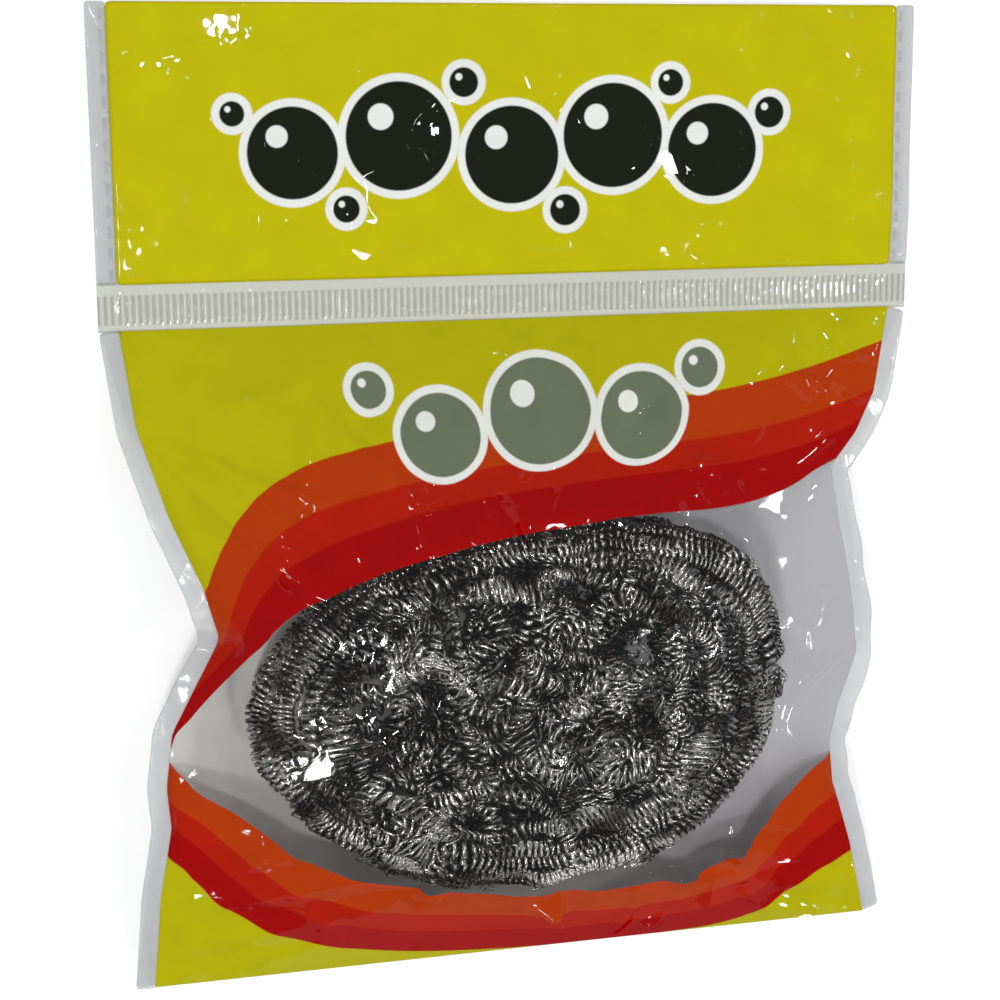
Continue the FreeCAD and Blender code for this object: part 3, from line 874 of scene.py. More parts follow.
@dataclass(frozen=True)
class Facet:
    """Flat spot that handling pressed into the film, turned so that it catches a lamp.

    Attributes:
        across, up: its middle on the flat film, in millimetres.
        long, wide: its half sizes, in millimetres.
        turn: direction of its long axis on the flat film, in degrees.
        lamp: the lamp that it catches.
        taper: how much narrower it gets along its long axis.
        rim: width over which the film runs out to its old place, in millimetres.
    """

    across: float
    up: float
    long: float
    wide: float
    turn: float
    lamp: str
    taper: float = 0.6
    rim: float = 1.3


FILM_SLOTS = ("printed_film", "printed_film", "clear_weld", "clear_weld")  # slot names listed for two films and their two welds; no piece is given them

# Outline of the squashed scourer: angle in degrees, and reach there as a share of a plain oval
GIRTH = (
    (-180, 1.0), (-154, 0.96), (-122, 0.95), (-96, 0.98), (-65, 1.02), (-50, 1.04), (-23, 1.01), (5, 1.0),
    (31, 1.11), (44, 1.12), (62, 1.05), (83, 1.0), (110, 0.97), (135, 0.98), (169, 1.0), (180, 1.0),
)


def girth(x: float, y: float) -> float:
    """Reach of the scourer's outline in one direction.

    Args:
        x, y: the direction, as shares of the oval's half sizes.

    Returns:
        The reach as a share of the oval's.
    """
    angle = math.degrees(math.atan2(y, x))
    for (start, first), (end, second) in zip(GIRTH, GIRTH[1:]):
        if angle <= end:
            return first + (second - first) * (angle - start) / (end - start)
    return GIRTH[-1][1]


@dataclass
class PouchFilms:
    """Front and back film of the pouch, wrapped round the scourer and settled as cloth, with welds on their edges.

    Attributes:
        flat_half: half width of the flat film between the welds.
        flat_length: length of each flat film from the bottom fold to the band.
        columns, rows: cells of the cloth across and along.
        sim_scale: how much larger the cloth is while it settles.
        frames: frames that it settles for.
        seed: start of the random numbers.
        small_creases: how many faint creases lie about the front film.
        press_limit: how far a facet moves the film at most.
        weld_width: width of a side weld.
        thickness: thickness of the film.
        travel: how far the scourer can shift towards the band.
        low, high: ends of the pouch along the bag.
        middle: middle of the scourer.
        lump_half: half sizes of the scourer with a little air round it.
        sole_room: air kept between the scourer and the back film.
        seam_foot, seam_rise: height of the seams at the pouch's ends, and how much higher they run beside the
            scourer, in millimetres.
        crown_rise: how high the front film starts out over the scourer, in millimetres.
        table_room: height of the back film over the table.
        film_room: least distance between the films.
        band_run: length of film that the band puckers, in millimetres.
        creases: sharp folds that handling left in the front film: both ends across and up the flat film,
            height and reach, in millimetres.
        facets: flat spots that handling left in the front film.
        seams: distance from the middle line and place along the bag of each side seam's corners, in millimetres.
    """

    finishes: Finishes
    flat_half: float = FILM_WIDTH / 2 * MM
    flat_length: float = FILM_LENGTH * MM
    columns: int = 96
    rows: int = 86
    sim_scale: float = 20.0
    frames: int = 40
    seed: int = 5
    small_creases: int = 34
    press_limit: float = 1.2 * MM
    weld_width: float = 3.2 * MM
    thickness: float = 0.12 * MM
    travel: float = 4.0 * MM
    low: float = -81.8 * MM
    high: float = 30.9 * MM
    middle: Vector = field(default_factory=lambda: Vector((-4.2, -32.2, 13.7)) * MM)
    lump_half: Vector = field(default_factory=lambda: Vector((47.0, 32.7, 12.7)) * MM)
    sole_room: float = 0.4 * MM
    seam_foot: float = 0.6
    seam_rise: float = 12.2
    crown_rise: float = 28.6
    table_room: float = 0.15 * MM
    film_room: float = 0.25 * MM
    band_run: float = 14
    creases: tuple[tuple[float, float, float, float, float, float], ...] = (
        (-36.8, 107.3, -13.0, 82.0, 0.65, 1.5),
        (-64.4, 102.2, -50.5, 95.5, 0.5, 1.5),
        (-50.5, 95.5, -38.0, 91.0, 0.6, 1.6),
        (-38.0, 91.0, -46.0, 86.0, 0.5, 1.6),
        (40.7, 31.4, 42.7, 13.8, 0.6, 1.5),
        (22.0, 15.7, 17.0, 1.5, 0.6, 1.5),
        (41.0, 28.0, 48.0, 3.0, 0.8, 4.2),
        (-3.0, 21.0, 10.0, 4.0, 0.8, 4.4),
        (6.0, 30.0, 9.0, 8.0, -0.7, 4.0),
        (25.0, 24.0, 34.0, 14.0, 0.8, 3.8),
        (42.0, 82.0, 40.0, 66.0, 0.6, 2.2),
        (63.0, 97.0, 56.0, 91.0, 0.7, 1.8),
        (24.0, 85.0, 31.0, 94.0, 0.6, 1.8),
        (18.0, 88.0, 10.0, 80.0, 0.5, 1.6),
        (-20.0, 98.0, -24.0, 78.0, 0.4, 1.6),
        (-8.0, 92.0, -2.0, 74.0, 0.4, 1.6),
        (48.0, 110.0, 60.0, 104.0, 0.5, 1.6),
        (-46.0, 24.0, -34.0, 8.0, 0.5, 2.0),
    )
    facets: tuple[Facet, ...] = (
        Facet(-46.4, 45.6, 7.5, 2.4, 201, "key"),
        Facet(31.5, 77.6, 5.0, 1.7, 180, "fill"),
        Facet(35.5, 92.3, 3.2, 1.0, -18, "fill", 0.0),
        Facet(38.8, 77.9, 3.1, 0.5, 52, "fill", 0.0),
        Facet(31.9, 71.4, 3.2, 0.5, 13, "fill", 0.0),
        Facet(3.4, 15.5, 3.4, 1.7, -72, "low"),
        Facet(28.6, 19.6, 3.2, 1.6, -35, "low"),
        Facet(43.6, 9.8, 2.8, 1.2, -47, "low"),
        Facet(25.0, 5.6, 2.2, 0.9, 57, "low", 0.0),
        Facet(-18.0, 24.0, 3.0, 1.2, 64, "low"),
        Facet(58.5, 94.0, 3.0, 0.6, 56, "fill", 0.0),
        Facet(56.0, 62.0, 3.2, 0.5, 80, "fill", 0.0),
    )
    seams: dict[int, tuple[tuple[float, float], ...]] = field(
        default_factory=lambda: {
            -1: ((65.6, -81.8), (64.4, -63.0), (62.4, -49.8), (63.0, -42.5), (61.8, -33.1), (57.9, -25.9),
                 (53.6, -18.1), (55.8, -9.9), (60.6, 1.4), (65.0, 15.6), (66.8, 30.9)),
            1: ((65.0, -81.8), (59.4, -65.6), (54.1, -52.4), (52.6, -44.4), (53.8, -37.0), (57.0, -28.1),
                (56.1, -17.4), (54.3, -5.2), (53.4, 4.2), (58.6, 9.9), (62.6, 16.6), (66.8, 30.9)),
        }
    )

    def swell(self, y: float) -> float:
        """How far the pouch has opened at a place along it.

        Args:
            y: the place along the bag.

        Returns:
            0 at both ends and 1 over the scourer.
        """
        span = self.middle.y - self.low if y < self.middle.y else self.high - self.middle.y
        return math.sin(math.pi / 2 * max(0.0, 1 - abs(y - self.middle.y) / span))

    def seam_line(self, side: int) -> list[Vector]:
        """Points of a side seam, one for each row of the film and evenly spaced along it.

        Args:
            side: -1 for left, 1 for right.

        Returns:
            The points, from the bottom fold to the band.
        """
        fine, steps = [], 24
        for (x0, y0), (x1, y1) in zip(self.seams[side], self.seams[side][1:]):
            for step in range(steps):
                share = step / steps
                y = (y0 + (y1 - y0) * share) * MM
                height = (self.seam_foot + self.seam_rise * self.swell(y)) * MM
                fine.append(Vector((side * (x0 + (x1 - x0) * share) * MM, y, height)))
        x, y = self.seams[side][-1]
        fine.append(Vector((side * x, y, self.seam_foot)) * MM)
        run = [0.0]
        for first, second in zip(fine, fine[1:]):
            run.append(run[-1] + (second - first).length)
        line, index = [], 0
        for row in range(self.rows + 1):
            goal = run[-1] * row / self.rows
            while index < len(run) - 2 and run[index + 1] < goal:
                index += 1
            share = (goal - run[index]) / (run[index + 1] - run[index])
            line.append(fine[index].lerp(fine[index + 1], min(1.0, share)))
        return line

    def wrapped(self, u: float, left: Vector, right: Vector, face: Face) -> Vector:
        """Where a point of the flat film starts out on the filled pouch.

        Args:
            u: place across the flat film, -1 to 1.
            left, right: the seams at that row.
            face: front or back film.

        Returns:
            The point in the row frame.
        """
        place = left.lerp(right, (u + 1) / 2)
        swell = self.swell(place.y)
        if face is Face.FRONT:
            crown = (self.seam_foot + self.crown_rise * swell) * MM
            place.z += (crown - place.z) * (1 - abs(u) ** 2.4) ** 0.8
        else:
            sole = (self.seam_foot - 0.35 * min(1.0, swell * 3)) * MM
            place.z += (sole - place.z) * (1 - abs(u) ** 3)
        return place

    def pillow(self) -> bpy.types.Object:
        """Closed pillow of both films, already wrapped, whose rest shape is the flat cut.

        Returns:
            The cloth, at its own scale.
        """
        bm = bmesh.new()
        size = Matrix.Diagonal((self.flat_half * 2, self.flat_length, 1, 1))
        bmesh.ops.create_grid(bm, x_segments=self.columns, y_segments=self.rows, size=0.5, matrix=size)
        for face in bm.faces:
            face.material_index = Face.FRONT.value
        copied = bmesh.ops.duplicate(bm, geom=bm.verts[:] + bm.edges[:] + bm.faces[:])["geom"]
        back = [item for item in copied if isinstance(item, bmesh.types.BMFace)]
        for face in back:
            face.material_index = Face.BACK.value
        bmesh.ops.reverse_faces(bm, faces=back)
        flat = bm.loops.layers.uv.new("Flat")
        for face in bm.faces:
            for loop in face.loops:
                loop[flat].uv = (loop.vert.co.x * 10, (loop.vert.co.y + self.flat_length / 2) * 10)
        cut = bm.verts.layers.float_vector.new("cut")
        pins = bm.verts.layers.deform.new("pins")
        left, right = self.seam_line(-1), self.seam_line(1)
        for vert in bm.verts:
            face = Face(vert.link_faces[0].material_index)
            row = round((vert.co.y / self.flat_length + 0.5) * self.rows)
            vert[cut] = vert.co * self.sim_scale
            if vert.is_boundary:
                vert[pins][0] = 1.0
            u = max(-1.0, min(1.0, vert.co.x / self.flat_half))
            vert.co = self.wrapped(u, left[row], right[row], face) * self.sim_scale
        rim = [vert for vert in bm.verts if vert.is_boundary]
        bmesh.ops.remove_doubles(bm, verts=rim, dist=0.02 * MM * self.sim_scale)
        cloth = to_object("films", bm, self.finishes.film[Motif.POUCH])
        cloth.data.materials.append(self.finishes.film[Motif.BACK])
        cloth.vertex_groups.new(name="pins")
        cloth.shape_key_add(name="wrapped")
        rest = cloth.shape_key_add(name="flat cut")
        for point, place in zip(rest.data, cloth.data.attributes["cut"].data):
            point.co = place.vector
        return cloth

    def lump(self) -> bpy.types.Object:
        """Smooth lump that the films settle on: the scourer at both ends of its travel.

        Returns:
            The collision object, at the cloth's scale.
        """
        bm = bmesh.new()
        bmesh.ops.create_uvsphere(bm, u_segments=72, v_segments=48, radius=1.0)
        for vert in bm.verts:
            reach = girth(vert.co.x, vert.co.y)
            vert.co = (vert.co.x * reach, vert.co.y * reach, math.copysign(abs(vert.co.z) ** 0.6, vert.co.z))
        half = self.lump_half + Vector((0, self.travel / 2, 0))
        place = self.middle + Vector((0, self.travel / 2, 0))
        bm.transform(Matrix.Rotation(math.radians(SCOURER_LEAN), 4, "Z") @ Matrix.Diagonal((*half, 1)))
        for vert in bm.verts:
            bump = 0.5 + 0.5 * noise.noise(vert.co * 75 + Vector((3.0, 1.0, 6.0)))
            vert.co += vert.co.normalized() * (bump * 1.3 * MM * max(0.0, vert.co.z / half.z))
        bm.transform(Matrix.Scale(self.sim_scale, 4) @ Matrix.Translation(place))
        return self.stop("lump", bm, 0.3 * MM)

    def table(self) -> bpy.types.Object:
        """Table top under the bag while the films settle.

        Returns:
            The collision object.
        """
        bm = bmesh.new()
        bmesh.ops.create_grid(bm, x_segments=8, y_segments=8, size=0.25 * self.sim_scale)
        return self.stop("table", bm, 0.05 * MM)

    def stop(self, name: str, bm: bmesh.types.BMesh, skin: float) -> bpy.types.Object:
        """Makes a mesh that the films can't pass.

        Args:
            name: the object's name.
            bm: its mesh, at the cloth's scale.
            skin: how near the films may come.

        Returns:
            The collision object.
        """
        made = to_object(name, bm, self.finishes.steel)
        made.modifiers.new("Collision", "COLLISION")
        made.collision.thickness_outer = skin * self.sim_scale
        made.collision.cloth_friction = 1.0
        return made

    def settle(self) -> bpy.types.Mesh:
        """Lets the films settle round the scourer as stiff cloth with its edges held.

        Returns:
            The settled mesh at the cloth's scale.
        """
        films = self.pillow()
        stops = [self.lump(), self.table()]
        cloth = films.modifiers.new("Cloth", "CLOTH")
        s = cloth.settings
        s.quality = 8
        s.mass = 0.3
        s.air_damping = 5.0
        s.bending_model = "ANGULAR"
        s.tension_stiffness = s.compression_stiffness = 60
        s.shear_stiffness = 40
        s.bending_stiffness = 0.6
        s.tension_damping = s.compression_damping = s.shear_damping = 25
        s.bending_damping = 1.0
        s.vertex_group_mass = "pins"
        s.rest_shape_key = films.data.shape_keys.key_blocks["flat cut"]
        s.effector_weights.gravity = 0.25
        cloth.collision_settings.distance_min = 0.2 * MM * self.sim_scale
        cloth.collision_settings.collision_quality = 3
        cloth.point_cache.frame_start, cloth.point_cache.frame_end = 1, self.frames
        scene = bpy.context.scene
        for number in range(1, self.frames + 1):
            scene.frame_set(number)
        mesh = bake_modifiers(films)
        scene.frame_set(1)
        for item in (films, *stops):
            bpy.data.objects.remove(item)
        return mesh

    def grid(self, settled: bpy.types.Mesh, face: Face) -> FilmGrid:
        """Settled places of one film, on a finer grid than the cloth's.

        Args:
            settled: the settled pillow.
            face: which film.

        Returns:
            The film's grid.
        """
        flat = settled.uv_layers["Flat"].data
        places = {}
        for polygon in settled.polygons:
            if polygon.material_index != face.value:
                continue
            for index in polygon.loop_indices:
                u, v = flat[index].uv
                column = round((u / 10 / self.flat_half + 1) / 2 * self.columns)
                row = round(v / 10 / self.flat_length * self.rows)
                places[column, row] = settled.vertices[settled.loops[index].vertex_index].co / self.sim_scale
        return FilmGrid(self.columns, self.rows, self.flat_half, self.flat_length, places).finer()

    def clear_path(self, film: FilmGrid) -> None:
        """Lowers the back film out of the scourer's way, wherever it shifts.

        Args:
            film: the film, whose places are changed.
        """
        half = self.lump_half * 1.03
        straight = Matrix.Rotation(math.radians(-SCOURER_LEAN), 3, "Z")
        for key, place in film.places.items():
            if not film.inset(*key):
                continue
            for shift in (0.0, 0.5, 1.0):
                off = straight @ (place - self.middle - Vector((0, shift * self.travel, 0)))
                x, y = off.x / half.x, off.y / half.y
                share = (x * x + y * y) / girth(x, y) ** 2
                if share < 1:
                    place.z = min(place.z, self.middle.z - half.z * (1 - share) ** 0.25 - self.sole_room)

    def part_films(self, front: FilmGrid, back: FilmGrid) -> None:
        """Keeps the back film off the table and the front film off the back one.

        Args:
            front, back: the films, whose places are changed.
        """
        for key, place in back.places.items():
            place.z = max(place.z, self.table_room)
            apart = self.film_room if back.inset(*key) else 0.0
            front.places[key].z = max(front.places[key].z, place.z + apart)

    def pinch(self, film: FilmGrid) -> None:
        """Adds the sharp creases to the settled front film.

        Args:
            film: the film, whose places are changed.
        """
        moves = {}
        rng = random.Random(self.seed)
        creases = list(self.creases)
        for _ in range(self.small_creases):
            x, y, heading = rng.uniform(-60, 60), rng.uniform(3, 117), rng.uniform(0, math.tau)
            long = rng.uniform(8, 22)
            ends = (x, y, x + long * math.cos(heading), y + long * math.sin(heading))
            creases.append((*ends, rng.uniform(-0.35, 0.45), rng.uniform(2.0, 3.4)))
        for key in film.places:
            if not film.inset(*key):
                continue
            spot = film.spot(*key)
            near_band = max(0.0, 1 - (self.flat_length / MM - spot.y) / self.band_run)
            pucker = noise.noise(Vector((spot.x * 0.28, spot.y * 0.05, 5.0)))
            lift = 0.9 * near_band * (1 - near_band) * pucker
            for x0, y0, x1, y1, height, reach in creases:
                start, run = Vector((x0, y0)), Vector((x1 - x0, y1 - y0))
                share = max(0.0, min(1.0, (spot - start).dot(run) / run.length_squared))
                far = (spot - start - run * share).length
                if far < reach:
                    lift += height * (1 - far / reach) * math.sin(math.pi * (0.08 + 0.84 * share))
            moves[key] = film.normal(*key) * (lift * MM * min(1.0, film.inset(*key) / 6))
        for key, move in moves.items():
            film.places[key] = film.places[key] + move

    def press(self, film: FilmGrid, facet: Facet) -> None:
        """Presses one flat facet into the settled front film.

        Args:
            film: the film, whose places are changed.
            facet: the facet.
        """
        middle = Vector((facet.across, facet.up))
        centre = film.places[min(film.places, key=lambda key: (film.spot(*key) - middle).length)]
        lamp = Vector(LAMPS[facet.lamp].place)
        facing = ((EYE - centre).normalized() + (lamp - centre).normalized()).normalized()
        along = Vector((math.cos(math.radians(facet.turn)), math.sin(math.radians(facet.turn))))
        moves, deepest = {}, 0.0
        for key, place in film.places.items():
            off = film.spot(*key) - middle
            run, aside = off.dot(along), abs(along.x * off.y - along.y * off.x)
            outside = max(abs(run) - facet.long, aside - facet.wide * (1 - facet.taper * run / facet.long))
            if outside > facet.rim or not film.inset(*key):
                continue
            normal = film.normal(*key)
            rise = (centre - place).dot(facing) / max(0.5, normal.dot(facing))
            rise = self.press_limit * math.tanh(rise / self.press_limit)
            share = max(0.0, outside / facet.rim)
            moves[key] = (rise, 1 - share * share * (3 - 2 * share), normal)
            if outside <= 0:
                deepest = min(deepest, rise)
        for key, (rise, hold, normal) in moves.items():
            film.places[key] = film.places[key] + normal * ((rise - 0.6 * deepest) * hold)

    def film(self, grid: FilmGrid, motif: Motif, name: str) -> bpy.types.Object:
        """One film of the settled pouch as a single sheet.

        Args:
            grid: its places.
            motif: its print.
            name: the piece's name.

        Returns:
            The film.
        """
        bm = bmesh.new()
        size = Matrix.Diagonal((self.flat_half * 2, self.flat_length, 1, 1))
        bmesh.ops.create_grid(bm, x_segments=grid.columns, y_segments=grid.rows, size=0.5, matrix=size)
        flat = bm.loops.layers.uv.new("Flat")
        for face in bm.faces:
            for loop in face.loops:
                loop[flat].uv = (loop.vert.co.x * 10, (loop.vert.co.y + self.flat_length / 2) * 10)
        for vert in bm.verts:
            column = round((vert.co.x / self.flat_half + 1) / 2 * grid.columns)
            vert.co = grid.places[column, round((vert.co.y / self.flat_length + 0.5) * grid.rows)]
        if motif is Motif.BACK:
            bmesh.ops.reverse_faces(bm, faces=bm.faces[:])
        return to_object(name, bm, self.finishes.film[motif])

    def weld(self, side: int, name: str) -> bpy.types.Object:
        """Side weld that grows out of the seam between the films.

        Args:
            side: -1 for left, 1 for right.
            name: the piece's name.

        Returns:
            The weld.
        """
        line = self.seam_line(side)
        bm = bmesh.new()
        bmesh.ops.create_grid(bm, x_segments=4, y_segments=self.rows, size=0.5)
        for vert in bm.verts:
            share = vert.co.x + 0.5
            row = round((vert.co.y + 0.5) * self.rows)
            ahead, behind = line[min(self.rows, row + 3)], line[max(0, row - 3)]
            run = (ahead - behind).normalized()
            out = Vector((run.y, -run.x, 0)).normalized() * side
            wave = noise.noise(Vector((line[row].y * 170, side * 3.1, 0.0)))
            ends = math.sin(math.pi * row / self.rows)
            vert.co = line[row] + out * (share * self.weld_width)
            vert.co.z = max(0.2 * MM, vert.co.z + share * ends * wave * 1.5 * MM)
            vert.co.y = max(self.low, min(self.high, vert.co.y))
        bmesh.ops.recalc_face_normals(bm, faces=bm.faces[:])
        made = to_object(name, bm, self.finishes.weld)
        add_wall(made, 2 * self.thickness)
        return made

    def build(self) -> list[bpy.types.Object]:
        """Makes the films and welds and ties them to the pouch.

        Returns:
            The pieces.
        """
        settled = self.settle()
        above, below = self.grid(settled, Face.FRONT), self.grid(settled, Face.BACK)
        self.pinch(above)
        for facet in self.facets:
            self.press(above, facet)
        self.clear_path(below)
        self.part_films(above, below)
        front = self.film(above, Motif.POUCH, "pouch_front")
        back = self.film(below, Motif.BACK, "pouch_back")
        left = self.weld(-1, "pouch_weld_left")
        right = self.weld(1, "pouch_weld_right")
        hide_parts("pouch_front_film", "bottom_fold")
        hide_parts("pouch_back_film")
        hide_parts("pouch_left_weld")
        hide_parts("pouch_right_weld")
        pieces = [front, back, left, right]
        for piece, slot in zip(pieces, FILM_SLOTS):
            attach(piece, "pouch")
        return pieces


@dataclass
class Header:
    """Header flap: two flat printed films and a marked weld along each side, a little wavy from handling.

    Attributes:
        low, high: its ends along the bag.
        half: half width of its films.
        weld: width of a side weld.
        wave: how far it stands off the table at most.
        thickness: thickness of the film.
        columns, rows: cells of a film across and along.
    """

    finishes: Finishes
    low: float = 38.3 * MM
    high: float = 82.5 * MM
    half: float = FILM_WIDTH / 2 * MM
    weld: float = 3.2 * MM
    wave: float = 1.1 * MM
    thickness: float = 0.12 * MM
    columns: int = 96
    rows: int = 34

    def height(self, x: float, y: float) -> float:
        """Height of the flap above the table.

        Args:
            x, y: the place on the bag.

        Returns:
            The height.
        """
        share = min(1.0, (y - self.low) / (8 * MM))
        ripple = noise.noise(Vector((x * 26, y * 34, 4.2))) + 0.45 * noise.noise(Vector((x * 62, y * 75, 9.7)))
        pucker = math.exp(-(y - self.low) / (6 * MM)) * (0.5 + 0.5 * noise.noise(Vector((x * 260, y * 40, 3.0))))
        wavy = share * self.wave * max(0.0, 0.55 + 0.7 * ripple)
        return 0.25 * MM + wavy + min(1.0, 6 * share) * 0.5 * MM * pucker

    def sheet(
        self, name: str, left: float, right: float, lift: float, material: bpy.types.Material, cells: int
    ) -> bpy.types.Object:
        """One layer of the flap.

        Args:
            name: the piece's name.
            left, right: its sides.
            lift: its height over the flap's lower layer.
            material: its finish.
            cells: cells across.

        Returns:
            The layer.
        """
        bm = bmesh.new()
        size = Matrix.Diagonal((right - left, self.high - self.low, 1, 1))
        place = Matrix.Translation(((left + right) / 2, (self.low + self.high) / 2, 0))
        bmesh.ops.create_grid(bm, x_segments=cells, y_segments=self.rows, size=0.5, matrix=place @ size)
        flat = bm.loops.layers.uv.new("Flat")
        for face in bm.faces:
            for loop in face.loops:
                loop[flat].uv = (loop.vert.co.x * 10, (loop.vert.co.y - self.low) * 10)
        for vert in bm.verts:
            vert.co.z = self.height(vert.co.x, vert.co.y) + lift
        made = to_object(name, bm, material)
        add_wall(made, self.thickness)
        return made

    def build(self) -> list[bpy.types.Object]:
        """Makes the flap's layers and ties them to the header.

        Returns:
            The pieces.
        """
        printed = self.finishes.film[Motif.HEADER]
        back = self.sheet("header_back", -self.half, self.half, 0.0, printed, self.columns)
        front = self.sheet("header_front", -self.half, self.half, 0.3 * MM, printed, self.columns)
        edge = self.half + self.weld
        left = self.sheet("header_weld_left", -edge, -self.half, 0.2 * MM, self.finishes.marked_weld, 4)
        right = self.sheet("header_weld_right", self.half, edge, 0.2 * MM, self.finishes.marked_weld, 4)
        pieces = [back, front, left, right]
        nodes = ("header_back_film", "header_front_film", "header_left_weld", "header_right_weld")
        for piece, node, slot in zip(pieces, nodes, FILM_SLOTS):
            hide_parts(node)
            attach(piece, "header")
        return pieces


@dataclass
class CrimpedBand:
    """Crimped cross weld: a clear strip with a row of pressed ribs.

    Attributes:
        low, high: its edges along the bag.
        half: half the bag's width.
        pitch: spacing of the ribs.
        depth: height of the ribs.
        fold: where the header folds, along the bag; not used.
    """

    finishes: Finishes
    low: float = 30.7 * MM
    high: float = 38.7 * MM
    half: float = 70.0 * MM
    pitch: float = RIB_PITCH
    depth: float = 0.3 * MM
    fold: float = 37.9 * MM

    def build(self) -> list[bpy.types.Object]:
        """Makes the band.

        Returns:
            The piece.
        """
        bm = bmesh.new()
        size = Matrix.Diagonal((2 * self.half, self.high - self.low, 1, 1))
        place = Matrix.Translation((0, (self.low + self.high) / 2, 0))
        columns = round(2 * self.half / self.pitch) * 4
        bmesh.ops.create_grid(bm, x_segments=columns, y_segments=14, size=0.5, matrix=place @ size)
        for vert in bm.verts:
            inside = max(0.0, min(1.0, (RIB_REACH - abs(vert.co.y - RIB_ROW)) / (0.5 * MM)))
            inside *= max(0.0, min(1.0, (self.half - 3.0 * MM - abs(vert.co.x)) / (0.6 * MM)))
            rib = 0.5 + 0.5 * math.cos(2 * math.pi * vert.co.x / self.pitch)
            bow = 0.25 * MM * (0.5 + 0.5 * noise.noise(Vector((vert.co.x * 30, 2.0, 7.0))))
            vert.co.z = 0.3 * MM + inside * rib * self.depth + bow
        made = to_object("crimp", bm, self.finishes.band)
        wall = made.modifiers.new("Wall", "SOLIDIFY")
        wall.thickness = 0.2 * MM
        wall.offset = -1.0
        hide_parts("crimped_band")
        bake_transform(made)
        return [made]


@dataclass(frozen=True)
class Strand:
    """One stretch of curled strand.

    Attributes:
        route: points of its middle line, in the scourer's frame.
        closed: whether it comes back to its start.
        curl: radius of its curls.
        pitch: spacing of its curls.
    """

    route: tuple[Vector, ...]
    closed: bool
    curl: float
    pitch: float


